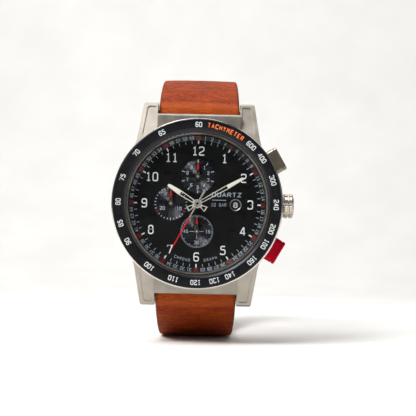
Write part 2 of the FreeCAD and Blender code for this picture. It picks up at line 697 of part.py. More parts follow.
def spring_bars():
    bars = []
    for sign in (1, -1):
        y = sign * BAR_Y
        body = rod(BAR_R, (-11.05, y, BAR_Z), (11.05, y, BAR_Z))
        body = body.fuse(rod(BAR_TIP_R, (-12.4, y, BAR_Z), (12.4, y, BAR_Z)))
        for side in (-1, 1):
            body = body.fuse(rod(0.95, (side * 11.0, y, BAR_Z), (side * 11.12, y, BAR_Z)))
        bars.append(body)
    return Part.makeCompound(bars)


# ------------------------------------------------------------------ assembly
def build():
    save("case_middle", case_middle())
    save("bezel", bezel())
    save("crystal", turned([(0, GLASS_BOTTOM), (GLASS_R, GLASS_BOTTOM), (GLASS_R, 11.85),
                            (18.35, GLASS_TOP), (0, GLASS_TOP)]))
    save("crystal_gasket", ring(GLASS_R + 0.01, 19.28, GLASS_BOTTOM + 0.01, 11.5))
    save("flange_ring", flange_ring())
    save("dial", dial())
    save("case_back", case_back())
    save("case_back_gasket", ring(19.15, 20.1, 1.655, 1.695))
    save("crown_tube", radial(ring(0.80, 1.29, 18.9, 24.2), 0))
    tubes = [radial(ring(0.60, 0.99, 18.8, 21.0), a) for a in (PUSHER_ANGLE, -PUSHER_ANGLE)]
    save("pusher_tubes", Part.makeCompound(tubes))
    save("spring_bars", spring_bars())

    save("crown", crown())
    save("crown_gasket", radial(ring(1.32, 1.58, 23.3, 23.8), 0))
    save("setting_stem", stem())
    save("sliding_pinion", sliding_pinion())
    for name, angle in (("start", PUSHER_ANGLE), ("reset", -PUSHER_ANGLE)):
        save(name + "_pusher", pusher(angle))
        save(name + "_pusher_spring", pusher_spring(angle))

    save("movement_ring", movement_ring())
    save("main_plate", main_plate())
    save("train_bridge", train_bridge())
    save("circuit_board", circuit_board())
    save("battery", battery())
    save("battery_clamp", battery_clamp())
    save("motor_coils", motor_coils())
    save("motor_stators", motor_stators())
    save("quartz_can", quartz_can())
    save("movement_screws", movement_screws())
    save("contact_springs", contact_springs())
    save("date_ring", date_ring())
    for name, (x, y) in ROTOR_SPOTS.items():
        save(name, rotor(x, y))

    save("cannon_pinion", cannon_pinion())
    save("minute_hand", minute_hand())
    save("hour_wheel", hour_wheel())
    save("hour_hand", hour_hand())
    save("minute_wheel", minute_wheel())
    save("third_wheel", third_wheel())
    save("fourth_wheel", fourth_wheel())
    save("small_seconds_hand", counter_hand(0, -SUBDIAL_Y))
    save("chrono_wheel", chrono_wheel())
    save("chrono_hand", chrono_hand())
    save("minute_counter_wheel", counter_wheel(SUBDIAL_X, 0))
    save("minute_counter_hand", counter_hand(SUBDIAL_X, 0))
    save("tenths_wheel", counter_wheel(0, SUBDIAL_Y))
    save("tenths_hand", counter_hand(0, SUBDIAL_Y))

    save("short_strap", short_strap())
    save("short_strap_lining", short_lining())
    save("long_strap", long_strap())
    save("long_strap_lining", long_lining())
    save("fixed_keeper", keeper(SHORT_LEN - 11, 5.0, 0.08))
    save("free_keeper", keeper(SHORT_LEN - 26, 5.0, 0.3))
    save("buckle_frame", buckle_frame())
    save("buckle_bar", buckle_bar())
    save("buckle_tang", buckle_tang())


build()
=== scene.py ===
# %% [markdown]
# # A chronograph wristwatch, finished in Blender
#
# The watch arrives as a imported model: every metal, glass and plastic piece has its real shape
# and place already. This lesson gives those pieces their finishes, draws the dial's printing,
# and models the soft leather that a solid modeller leaves plain. The first cell loads the frame.

# %% Load the frame
from math import atan2, cos, pi, radians, sin, sqrt

import bmesh
import bpy
from mathutils import Matrix, Vector, noise


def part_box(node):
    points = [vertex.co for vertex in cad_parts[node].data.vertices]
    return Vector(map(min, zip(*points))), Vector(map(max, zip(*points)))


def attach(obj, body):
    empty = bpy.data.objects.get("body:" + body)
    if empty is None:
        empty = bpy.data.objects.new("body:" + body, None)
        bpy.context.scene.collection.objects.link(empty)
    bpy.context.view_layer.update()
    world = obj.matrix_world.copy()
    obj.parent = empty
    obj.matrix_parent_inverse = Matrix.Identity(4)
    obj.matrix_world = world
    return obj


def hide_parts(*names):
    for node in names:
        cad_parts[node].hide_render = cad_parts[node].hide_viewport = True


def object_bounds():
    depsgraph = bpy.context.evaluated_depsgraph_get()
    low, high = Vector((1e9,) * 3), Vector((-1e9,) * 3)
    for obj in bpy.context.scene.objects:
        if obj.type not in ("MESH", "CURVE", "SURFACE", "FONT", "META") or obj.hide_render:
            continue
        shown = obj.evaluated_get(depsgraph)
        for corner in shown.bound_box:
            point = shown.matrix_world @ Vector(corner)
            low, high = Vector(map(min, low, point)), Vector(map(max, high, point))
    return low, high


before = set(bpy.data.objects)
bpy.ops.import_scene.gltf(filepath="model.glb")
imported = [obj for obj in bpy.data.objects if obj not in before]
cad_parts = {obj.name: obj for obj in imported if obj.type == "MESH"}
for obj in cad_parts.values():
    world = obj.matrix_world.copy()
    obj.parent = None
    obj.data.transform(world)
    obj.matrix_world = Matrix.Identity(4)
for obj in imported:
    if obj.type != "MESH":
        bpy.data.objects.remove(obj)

cad_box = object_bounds()

# %% [markdown]
# ## One way of measuring
#
# A watchmaker draws a watch face up: X runs to 3 o'clock, Y to 12 o'clock, Z out of the dial,
# in millimetres. The frame stands the watch up, with 12 o'clock along +Z and the dial facing -Y,
# in metres. One matrix turns the first into the second, so that every piece below can be drawn
# in the watchmaker's way.

# %% The watchmaker's frame
MM = 0.001
FACE_UP = Matrix.Rotation(pi / 2, 4, "X") @ Matrix.Scale(MM, 4)


def spot(x, y, z):
    """A point of the watchmaker's frame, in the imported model's frame."""
    return FACE_UP @ Vector((x, y, z))


def height_of(node):
    """How far a node reaches out of the dial side, in millimetres."""
    return -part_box(node)[0].y / MM


DIAL_Z = height_of("dial")
BEZEL_Z = height_of("bezel")
BEZEL_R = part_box("bezel")[1].x / MM
DATE_Z = height_of("date_ring")
print("dial top %.2f, bezel top %.2f, bezel radius %.2f" % (DIAL_Z, BEZEL_Z, BEZEL_R))

# %% [markdown]
# ## Keeping a piece
#
# A bmesh drawn in the watchmaker's frame becomes an object in one place: this helper turns it
# upright, gives it its finish, marks sharp edges by angle so that rounded ones shade smoothly,
# and lets it ride on its body.


# %% Turn a bmesh into a piece
def keep(name, bm, finishes, body, sharp=35, place=FACE_UP):
    bm.transform(place)
    mesh = bpy.data.meshes.new(name)
    bm.to_mesh(mesh)
    bm.free()
    for finish in finishes:
        mesh.materials.append(finish)
    mesh.shade_smooth()
    mesh.set_sharp_from_angle(angle=radians(sharp))
    piece = bpy.data.objects.new(name, mesh)
    bpy.context.scene.collection.objects.link(piece)
    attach(piece, body)
    print(name, len(mesh.polygons), "faces")
    return piece


# %% [markdown]
# ## Nodes in a few words
#
# Every finish is a small tree of shader nodes: a pattern, a ramp that colours it, a range that
# drives roughness and a bump that raises it. Patterns read Object coordinates, which are metres
# here, so a scale of 1000 means features of about a millimetre.

# %% Helpers for finishes
def srgb(red, green, blue):
    """A colour named 0 to 255, as the linear colour that the shader wants."""
    values = []
    for channel in (red, green, blue):
        c = channel / 255
        values.append(c / 12.92 if c <= 0.04045 else ((c + 0.055) / 1.055) ** 2.4)
    return (*values, 1.0)


class Finish:
    """A material and its shader, with one short method for each kind of node."""

    def __init__(self, name, colour, metal=0.0, rough=0.5, **sockets):
        self.material = bpy.data.materials.new(name)
        self.material.use_nodes = True
        self.tree = self.material.node_tree
        self.shader = self.tree.nodes["Principled BSDF"]
        self.shader.inputs["Base Color"].default_value = colour
        self.shader.inputs["Metallic"].default_value = metal
        self.shader.inputs["Roughness"].default_value = rough
        for socket, value in sockets.items():
            self.shader.inputs[socket.replace("_", " ")].default_value = value

    def node(self, kind, inputs=(), **settings):
        made = self.tree.nodes.new(kind)
        for key, value in settings.items():
            setattr(made, key, value)
        for key, value in dict(inputs).items():
            if isinstance(value, bpy.types.NodeSocket):
                self.tree.links.new(value, made.inputs[key])
            else:
                made.inputs[key].default_value = value
        return made

    def place(self):
        return self.node("ShaderNodeTexCoord").outputs["Object"]

    def surface(self, name):
        return self.node("ShaderNodeAttribute", attribute_name=name).outputs["Vector"]

    def stretched(self, vector, scale):
        inputs = {"Vector": vector, "Scale": scale}
        return self.node("ShaderNodeMapping", inputs).outputs["Vector"]

    def noise(self, vector, scale, detail=3.0, distortion=0.0):
        inputs = {"Vector": vector, "Scale": scale, "Detail": detail, "Distortion": distortion}
        return self.node("ShaderNodeTexNoise", inputs).outputs["Fac"]

    def cells(self, vector, scale, feature="F1"):
        inputs = {"Vector": vector, "Scale": scale}
        return self.node("ShaderNodeTexVoronoi", inputs, feature=feature).outputs["Distance"]

    def maths(self, operation, a, b=0.0, c=0.0):
        return self.node("ShaderNodeMath", {0: a, 1: b, 2: c}, operation=operation).outputs[0]

    def spread(self, value, low, high, from_low=0.3, from_high=0.7):
        inputs = {"Value": value, "From Min": from_low, "From Max": from_high,
                  "To Min": low, "To Max": high}
        return self.node("ShaderNodeMapRange", inputs).outputs[0]

    def blend(self, share, first, second):
        made = self.node("ShaderNodeMix", data_type="RGBA")
        for index, value in ((0, share), (6, first), (7, second)):
            if isinstance(value, bpy.types.NodeSocket):
                self.tree.links.new(value, made.inputs[index])
            else:
                made.inputs[index].default_value = value
        return made.outputs[2]

    def from_axis(self, x, z):
        """Distance in metres from an axis along Y, such as a hand's arbor."""
        parts = self.node("ShaderNodeSeparateXYZ", {"Vector": self.place()})
        dx = self.maths("SUBTRACT", parts.outputs["X"], x)
        dz = self.maths("SUBTRACT", parts.outputs["Z"], z)
        squares = self.maths("MULTIPLY_ADD", dx, dx, self.maths("MULTIPLY", dz, dz))
        return self.maths("SQRT", squares)

    def colour(self, value):
        self.tree.links.new(value, self.shader.inputs["Base Color"])

    def rough(self, value):
        self.tree.links.new(value, self.shader.inputs["Roughness"])

    def raise_by(self, height, depth):
        made = self.node("ShaderNodeBump", {"Height": height, "Distance": depth})
        self.tree.links.new(made.outputs["Normal"], self.shader.inputs["Normal"])


# %% [markdown]
# ## Metals
#
# The case is steel blasted with glass beads: a fine even grain that scatters the light. The
# fasteners, tubes and the rim are polished, with a few hairlines. Bezel and case back are turned,
# and the tool leaves fine circles round the middle, so their pattern runs on the distance from
# the axis. Crown and pushers are satin, the pushers a little darker and duller.

# %% Steel finishes
def blasted(name, colour, rough=0.40):
    """Bead-blasted metal: an even grain of about a tenth of a millimetre."""
    f = Finish(name, colour, 1.0, rough)
    grain = f.noise(f.place(), 9000.0, 2.0)
    cloud = f.noise(f.place(), 260.0, 3.0)
    shade = f.spread(cloud, 0.0, 1.0)
    darker = tuple(c * 0.80 for c in colour[:3]) + (1.0,)
    f.colour(f.blend(shade, darker, colour))
    f.rough(f.spread(f.maths("MULTIPLY_ADD", grain, 0.5, f.maths("MULTIPLY", cloud, 0.5)),
                     rough - 0.06, rough + 0.08))
    f.raise_by(grain, 0.000006)
    return f.material


def polished(name, colour, rough=0.12, metal=1.0):
    """Polished metal with hairlines left by handling."""
    f = Finish(name, colour, metal, rough)
    hairs = f.noise(f.stretched(f.place(), (1.0, 1.0, 14.0)), 900.0, 5.0, 0.6)
    f.rough(f.spread(hairs, rough * 0.7, rough * 1.9))
    cloud = f.noise(f.place(), 300.0)
    darker = tuple(c * 0.86 for c in colour[:3]) + (1.0,)
    f.colour(f.blend(f.spread(cloud, 0.0, 1.0), darker, colour))
    return f.material


def turned_finish(name, colour, rough, metal=1.0, pitch=7000.0, depth=0.000004, x=0.0, z=0.0):
    """Fine circles round an axis, as a lathe leaves them."""
    f = Finish(name, colour, metal, rough)
    reach = f.from_axis(x, z)
    circles = f.node("ShaderNodeTexNoise", {"W": f.maths("MULTIPLY", reach, pitch), "Scale": 1.0,
                                            "Detail": 2.0}, noise_dimensions="1D").outputs["Fac"]
    cloud = f.noise(f.place(), 420.0, 3.0)
    mixed = f.maths("MULTIPLY_ADD", circles, 0.65, f.maths("MULTIPLY", cloud, 0.35))
    f.rough(f.spread(mixed, rough - 0.07, rough + 0.09))
    darker = tuple(c * 0.72 for c in colour[:3]) + (1.0,)
    f.colour(f.blend(f.spread(mixed, 0.0, 1.0), darker, colour))
    f.raise_by(circles, depth)
    return f.material


def brushed(name, colour, direction, rough=0.3, metal=1.0, scale=1800.0, depth=0.000004):
    """Straight brush strokes. The direction's small number is the way that the brush ran."""
    f = Finish(name, colour, metal, rough)
    strokes = f.noise(f.stretched(f.place(), direction), scale, 4.0)
    f.rough(f.spread(strokes, rough - 0.08, rough + 0.10))
    darker = tuple(c * 0.78 for c in colour[:3]) + (1.0,)
    f.colour(f.blend(f.spread(strokes, 0.0, 1.0), darker, colour))
    f.raise_by(strokes, depth)
    return f.material


def satin(name, colour, rough, metal=1.0):
    """Metal rubbed to an even silk: no grain to see, only slow changes of gloss and tone."""
    f = Finish(name, colour, metal, rough)
    cloud = f.noise(f.place(), 500.0, 3.0)
    f.rough(f.spread(cloud, rough - 0.05, rough + 0.06))
    darker = tuple(c * 0.90 for c in colour[:3]) + (1.0,)
    f.colour(f.blend(f.spread(cloud, 0.0, 1.0), darker, colour))
    return f.material


STEEL = srgb(180, 173, 163)
case_steel = blasted("blasted_steel", STEEL)
bright_steel = polished("bright_steel", srgb(222, 218, 212))
crown_steel = satin("satin_crown_steel", srgb(196, 188, 176), 0.24)
pusher_steel = satin("satin_pusher_steel", srgb(146, 136, 120), 0.34, 1.0)
buckle_steel = brushed("satin_buckle_steel", srgb(200, 195, 188), (0.6, 6.0, 6.0), 0.28)
back_steel = turned_finish("turned_back_steel", srgb(190, 186, 180), 0.30)
bezel_black = turned_finish("turned_black_coating", srgb(52, 52, 56), 0.34, 1.0, depth=0.000010)
print("steel finishes made")

# %% [markdown]
# ## Coloured metals
#
# The reset pusher is anodised crimson: the dye sits under a clear oxide, so it is a metal with a
# deep red reflection. The hands are rubbed and lacquered, so part of their light is plain paint's.
# The movement inside is brass, nickel and copper, which a repairer sees with the back off.

# %% Coloured metal finishes
crimson = satin("crimson_anodised", srgb(196, 6, 40), 0.38, 0.9)
hand_steel = satin("rubbed_hand_steel", srgb(246, 240, 228), 0.36, 0.40)
brass = turned_finish("turned_brass", srgb(214, 172, 92), 0.28)
nickel = brushed("brushed_nickel", srgb(205, 202, 192), (1.0, 1.0, 9.0), 0.26)
copper = brushed("wound_copper", srgb(196, 112, 62), (9.0, 1.0, 1.0), 0.34)
rim_steel = satin("rubbed_rim_steel", srgb(150, 148, 146), 0.30)
cell_steel = turned_finish("battery_can", srgb(206, 206, 206), 0.22, x=0.0069, z=0.00295)
print("coloured metals made")

# %% [markdown]
# ## Plastics, rubber and lacquer
#
# Moulded plastic has a fine orange peel and a slightly uneven gloss. Rubber is matt with a faint
# bloom. The dial is lacquered satin black with a very fine grain, which keeps it from looking
# like a hole. Printing inks are flat paints with a little tooth.

# %% Plastic, rubber and paint finishes
def moulded(name, colour, rough=0.45, grain=2500.0, depth=0.000004, lift=1.25, **sockets):
    f = Finish(name, colour, 0.0, rough, **sockets)
    peel = f.noise(f.place(), grain, 3.0)
    cloud = f.noise(f.place(), 300.0, 2.0)
    f.rough(f.spread(f.maths("MULTIPLY_ADD", peel, 0.5, f.maths("MULTIPLY", cloud, 0.5)),
                     rough - 0.08, rough + 0.10))
    lighter = tuple(min(1.0, c * lift) for c in colour[:3]) + (1.0,)
    f.colour(f.blend(f.spread(cloud, 0.0, 1.0), colour, lighter))
    f.raise_by(peel, depth)
    return f.material


rubber = moulded("gasket_rubber", srgb(22, 22, 23), 0.70, 1200.0)
flange_black = moulded("flange_lacquer", srgb(12, 12, 13), 0.34, 6000.0, 0.000001,
                       Specular_IOR_Level=0.25)
dial_black = moulded("dial_lacquer", srgb(8, 8, 9), 0.32, 9000.0, 0.000001, 1.5,
                     Specular_IOR_Level=0.20)
holder_plastic = moulded("holder_plastic", srgb(52, 54, 58), 0.50)
gear_plastic = moulded("gear_plastic", srgb(226, 220, 204), 0.42)
date_black = moulded("date_disc_lacquer", srgb(15, 15, 16), 0.40, 6000.0)
bezel_white = moulded("ink_bezel_white", srgb(212, 218, 220), 0.50, 9000.0, 0.000001, 1.05)
ink_white = moulded("ink_white", srgb(244, 249, 252), 0.50, 9000.0, 0.000001, 1.05)
ink_pale = moulded("ink_pale_blue_grey", srgb(172, 186, 200), 0.50, 9000.0, 0.000001, 1.05)
ink_red = moulded("ink_dark_red", srgb(170, 22, 30), 0.50, 9000.0, 0.000001, 1.05)
ink_orange = moulded("ink_orange", srgb(244, 122, 60), 0.50, 9000.0, 0.000001, 1.05)
lume = moulded("lume_cream_white", srgb(240, 238, 228), 0.60, 7000.0, 0.000008, 1.04)
ink_grey = moulded("ink_mid_grey", srgb(112, 122, 134), 0.50, 9000.0, 0.000001, 1.05)
print("plastics and paints made")

# %% [markdown]
# ## Glass
#
# A flat mineral glass 1.85 mm thick shows as two things: it lets the dial through unchanged, and
# it mirrors a few percent of the room, more at a glancing angle. A Transparent shader mixed with
# a gloss by Fresnel says just that, and lets the lamps light the dial behind it.

# %% The glass finish
def clear_glass(name):
    f = Finish(name, (1, 1, 1, 1), 0.0, 0.02)
    smear = f.noise(f.place(), 120.0, 2.0)
    gloss = f.node("ShaderNodeBsdfGlossy", {"Roughness": f.spread(smear, 0.01, 0.05)})
    clear = f.node("ShaderNodeBsdfTransparent", {"Color": (0.985, 0.99, 0.99, 1)})
    share = f.maths("MULTIPLY", f.node("ShaderNodeFresnel", {"IOR": 1.45}).outputs[0], 0.32)
    mixed = f.node("ShaderNodeMixShader", {0: share, 1: clear.outputs[0], 2: gloss.outputs[0]})
    out = f.tree.nodes["Material Output"]
    f.tree.links.new(mixed.outputs[0], out.inputs["Surface"])
    f.tree.nodes.remove(f.shader)
    return f.material


glass = clear_glass("mineral_glass_clear")
print("glass made")

# %% [markdown]
# ## The circuit board
#
# Green solder mask lies over copper tracks. The tracks show as slightly lighter bands, so cells
# with thin borders, drawn at a millimetre's scale, are enough under the bridge.

# %% The board's finish
def solder_mask():
    f = Finish("green_solder_mask", srgb(24, 92, 52), 0.0, 0.30)
    edge = f.cells(f.place(), 700.0, "DISTANCE_TO_EDGE")
    track = f.spread(edge, 1.0, 0.0, 0.05, 0.12)
    f.colour(f.blend(track, srgb(18, 78, 44), srgb(78, 140, 70)))
    f.raise_by(track, 0.00002)
    f.rough(f.spread(f.noise(f.place(), 900.0), 0.22, 0.40))
    return f.material


board_green = solder_mask()

# %% [markdown]
# ## Two-colour hands
#
# The chronograph's sweep hand is bare metal near its hub and red further out, and each counter
# hand is bronze with a red tip. Paint that starts at a given reach from the arbor follows from
# the distance to that arbor, which stays true as the hand turns, because the pattern is fixed
# to the hand's own mesh.


# %% Finishes that change with reach
def painted_from(name, metal_colour, paint, reach, x=0.0, z=0.0, rough=0.28):
    f = Finish(name, metal_colour, 1.0, rough)
    out = f.from_axis(x * MM, z * MM)
    share = f.spread(out, 0.0, 1.0, (reach - 0.05) * MM, (reach + 0.05) * MM)
    strokes = f.noise(f.place(), 6000.0, 3.0)
    darker = tuple(c * 0.8 for c in metal_colour[:3]) + (1.0,)
    bare = f.blend(f.spread(strokes, 0.0, 1.0), darker, metal_colour)
    f.colour(f.blend(share, bare, paint))
    f.tree.links.new(f.maths("SUBTRACT", 1.0, share), f.shader.inputs["Metallic"])
    f.rough(f.spread(strokes, rough - 0.06, rough + 0.10))
    return f.material


SUB_Y = 7.42
SUB_X = -7.12
COUNTERS = {"tenths": (0.0, SUB_Y), "minute_counter": (SUB_X, 0.0), "small_seconds": (0.0, -SUB_Y)}
chrono_red = painted_from("sweep_hand_red", srgb(236, 232, 224), srgb(224, 14, 16), 4.2)
BRONZE = srgb(120, 110, 98)
counter_hands = {}
for name, (x, y) in COUNTERS.items():
    counter_hands[name] = painted_from(name + "_bronze", BRONZE, srgb(228, 12, 14), 2.1, x, y)
print("two-colour hands made")

# %% [markdown]
# ## Hand the finishes out
#
# Each CAD node keeps its mesh and gets a finish on its material slots. A table from the record's
# slot name to the finish does it in one loop; nodes with a finish of their own follow.

# %% Assign finishes to the CAD nodes
SLOT_FINISH = {
    "case_steel": case_steel, "bezel_black": bezel_black, "mineral_glass": glass,
    "gasket_black": rubber, "flange_black": flange_black, "dial_black": dial_black,
    "back_steel": back_steel, "polished_steel": bright_steel, "crown_steel": crown_steel,
    "pusher_crimson": crimson, "movement_plastic": holder_plastic, "movement_brass": brass,
    "movement_nickel": nickel, "board_green": board_green, "battery_steel": cell_steel,
    "coil_copper": copper, "date_black": date_black, "gear_plastic": gear_plastic,
    "hand_silver": hand_steel, "chrono_hand_red": chrono_red, "buckle_steel": buckle_steel,
}
for name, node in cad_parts.items():
    slots = node.material_slots
    for part in slots:
        wanted = SLOT_FINISH.get(part.material.name)
        if wanted:
            part.material = wanted
for name, finish in counter_hands.items():
    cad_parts[name + "_hand"].material_slots[0].material = finish
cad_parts["start_pusher"].material_slots[0].material = pusher_steel
print("finishes given to", len(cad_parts), "nodes")

# %% [markdown]
# ## The bezel and the bright step under it
#
# The bezel is a turned ring, so spinning its section is the natural way: a few corner points,
# a full turn, and the rim is round however near one looks. Under its edge the case shows a
# narrow polished step that draws a bright line round the black.


# %% Spin a section
def turned(section, steps=256, x=0.0, y=0.0):
    """A closed ring from its (radius, height) corners, spun about the dial's axis."""
    bm = bmesh.new()
    corners = [bm.verts.new((r, 0.0, z)) for r, z in section]
    edges = [bm.edges.new(pair) for pair in zip(corners, corners[1:] + corners[:1])]
    bmesh.ops.spin(bm, geom=corners + edges, cent=(0, 0, 0), axis=(0, 0, 1), angle=2 * pi,
                   steps=steps, use_merge=True)
    bmesh.ops.remove_doubles(bm, verts=bm.verts, dist=1e-5)
    bmesh.ops.recalc_face_normals(bm, faces=bm.faces)
    bmesh.ops.translate(bm, verts=bm.verts, vec=(x, y, 0))
    return bm


BEZEL_IN, BEZEL_SEAT, NECK = 19.34, 9.2, 20.65
bezel_section = [
    (NECK, BEZEL_SEAT), (BEZEL_R - 0.12, BEZEL_SEAT), (BEZEL_R, BEZEL_SEAT + 0.12),
    (BEZEL_R, BEZEL_Z - 0.25), (BEZEL_R - 0.07, BEZEL_Z - 0.10), (BEZEL_R - 0.22, BEZEL_Z),
    (19.95, BEZEL_Z), (19.82, BEZEL_Z - 0.03), (BEZEL_IN, BEZEL_Z - 0.35),
    (BEZEL_IN, 11.36), (NECK, 11.36),
]
bezel = keep("tachymeter_bezel", turned(bezel_section), [bezel_black], "case", 25)
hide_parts("bezel")

step_section = [(BEZEL_R + 0.02, 9.21), (BEZEL_R + 0.46, 9.21), (BEZEL_R + 0.45, 9.26),
                (BEZEL_R + 0.10, 9.54), (BEZEL_R + 0.02, 9.56)]
keep("polished_case_step", turned(step_section), [bright_steel], "case", 50)

# %% [markdown]
# ## Snailed counters
#
# The three small counters are cut with a fine spiral, and the grooves catch the light in two
# opposite fans. Real grooves, a tenth of a millimetre apart, do that in any renderer, so each
# counter gets a thin plate whose section is a zigzag.

# %% Grooved plates for the counters
COUNTER_R = 4.56
COUNTER_FLOOR = DIAL_Z - 0.14
GROOVE = 0.115
GROOVE_DEPTH = 0.029
snailed = turned_finish("snailed_counter_black", srgb(52, 52, 56), 0.24, 1.0, 9000.0, 0.0000005)


def grooved_plate(x, y):
    section = [(0.46, COUNTER_FLOOR + 0.004)]
    count = int((COUNTER_R - 0.46) / GROOVE)
    for i in range(count):
        r = 0.46 + i * GROOVE
        section.append((r + 0.01, COUNTER_FLOOR + 0.03))
        section.append((r + GROOVE / 2, COUNTER_FLOOR + 0.03 + GROOVE_DEPTH))
    section.append((COUNTER_R, COUNTER_FLOOR + 0.03))
    section.append((COUNTER_R, COUNTER_FLOOR + 0.004))
    return turned(section, 90, x, y)


for name, (x, y) in COUNTERS.items():
    keep(name + "_plate", grooved_plate(x, y), [snailed], "case", 1)

# %% [markdown]
# ## Printing
#
# Dial printing is pad-printed ink a few hundredths of a millimetre thick. Instrument numerals
# are drawn with a pen of one width: a 1 has a foot, a 0 is a rounded frame. So each sign is a
# path over a cell 4 wide and 6 high, its square corners are rounded, and a short edge, the pen,
# is extruded along it. That keeps the strokes even at any height.

# %% The pen's paths
FRAME = [(2, 0), (4, 0), (4, 6), (0, 6), (0, 0), (2, 0)]
SIGNS = {
    "0": [FRAME], "O": [FRAME], "Q": [FRAME, [(2.4, 1.8), (4.3, -0.3)]],
    "1": [[(0.7, 4.9), (2, 6), (2, 0)], [(0.6, 0), (3.4, 0)]],
    "2": [[(0, 4.9), (0, 6), (4, 6), (4, 3.4), (0, 1.5), (0, 0), (4.2, 0)]],
    "3": [[(0, 5.0), (0, 6), (4, 6), (4, 3.1), (1.5, 3.1)],
          [(1.5, 3.1), (4, 3.1), (4, 0), (0, 0), (0, 1.0)]],
    "4": [[(3.1, 0), (3.1, 6)], [(2.7, 6), (0, 1.6), (4.3, 1.6)]],
    "5": [[(3.8, 6), (0.2, 6), (0.2, 3.5), (4, 3.5), (4, 0), (0, 0), (0, 0.9)]],
    "6": [[(3.9, 5.2), (3.9, 6), (0, 6), (0, 0), (4, 0), (4, 3.2), (0, 3.2)]],
    "7": [[(0, 5.1), (0, 6), (4, 6), (1.5, 0)]],
    "8": [[(2, 3.2), (0.2, 3.2), (0.2, 6), (3.8, 6), (3.8, 3.2), (2, 3.2)],
          [(2, 3.2), (4, 3.2), (4, 0), (0, 0), (0, 3.2), (2, 3.2)]],
    "9": [[(0.1, 0.8), (0.1, 0), (4, 0), (4, 6), (0, 6), (0, 2.8), (4, 2.8)]],
    "A": [[(0, 0), (2, 6), (4, 0)], [(0.8, 1.9), (3.2, 1.9)]],
    "B": [[(2, 3.2), (0, 3.2), (0, 6), (3.7, 6), (3.7, 3.2), (2, 3.2)],
          [(2, 3.2), (4, 3.2), (4, 0), (0, 0), (0, 3.2)]],
    "C": [[(4, 4.8), (4, 6), (0, 6), (0, 0), (4, 0), (4, 1.2)]],
    "E": [[(4, 6), (0, 6), (0, 0), (4, 0)], [(0, 3), (3.2, 3)]],
    "G": [[(4, 4.8), (4, 6), (0, 6), (0, 0), (4, 0), (4, 3), (2.3, 3)]],
    "H": [[(0, 0), (0, 6)], [(4, 0), (4, 6)], [(0, 3), (4, 3)]],
    "M": [[(0, 0), (0, 6), (2, 2.6), (4, 6), (4, 0)]],
    "N": [[(0, 0), (0, 6), (4, 0), (4, 6)]],
    "P": [[(0, 0), (0, 6), (4, 6), (4, 2.8), (0, 2.8)]],
    "R": [[(0, 0), (0, 6), (4, 6), (4, 2.9), (0, 2.9)], [(2, 2.9), (4, 0)]],
    "T": [[(0, 6), (4, 6)], [(2, 6), (2, 0)]],
    "U": [[(0, 6), (0, 0), (4, 0), (4, 6)]],
    "Y": [[(0, 6), (2, 2.9), (4, 6)], [(2, 2.9), (2, 0)]],
    "Z": [[(0, 6), (4, 6), (0, 0), (4, 0)]],
}
SQUARE_SIGNS = "AEHMNTYZ147"
CELL_W, CELL_H = 4.0, 6.0
INK = 0.025
print(len(SIGNS), "signs")


# %% Draw a word with the pen
def softened(path, radius):
    """A path with each square corner turned into a short curve."""
    points = [Vector(p) for p in path]
    out = [points[0]]
    for before, corner, after in zip(points, points[1:], points[2:]):
        back, ahead = before - corner, after - corner
        if radius and back.angle(ahead) > radians(75):
            reach = min(radius, back.length / 2, ahead.length / 2)
            a, b = corner + back.normalized() * reach, corner + ahead.normalized() * reach
            for t in (0.0, 0.25, 0.5, 0.75, 1.0):
                out.append(a * (1 - t) ** 2 + corner * 2 * t * (1 - t) + b * t * t)
        else:
            out.append(corner)
    return out + [points[-1]]


def pen_stroke(bm, path, pen):
    """Extrude the pen, an edge across the path, from point to point."""
    edge = None
    closed = (path[0] - path[-1]).length < 1e-6
    for i, point in enumerate(path):
        before = path[i - 1] if i else (path[-2] if closed else point)
        after = path[i + 1] if i + 1 < len(path) else (path[1] if closed else point)
        way_in, way_out = (point - before), (after - point)
        way_in = way_in.normalized() if way_in.length else way_out.normalized()
        way_out = way_out.normalized() if way_out.length else way_in
        along = (way_in + way_out).normalized()
        half = pen / 2 / max(0.55, along.dot(way_in))
        across = Vector((-along.y, along.x, 0)) * half
        centre = Vector((point.x, point.y, 0))
        if edge is None:
            edge = bm.edges.new([bm.verts.new(centre + across), bm.verts.new(centre - across)])
            continue
        made = bmesh.ops.extrude_edge_only(bm, edges=[edge])["geom"]
        edge = [g for g in made if isinstance(g, bmesh.types.BMEdge)
                and not any(v in edge.verts for v in g.verts)][0]
        last = edge.verts[:]
        old_left = [e.other_vert(last[0]) for e in last[0].link_edges if e != edge][0]
        left_first = old_left.co.x * across.x + old_left.co.y * across.y > \
            before.x * across.x + before.y * across.y
        if not left_first:
            last.reverse()
        last[0].co, last[1].co = centre + across, centre - across


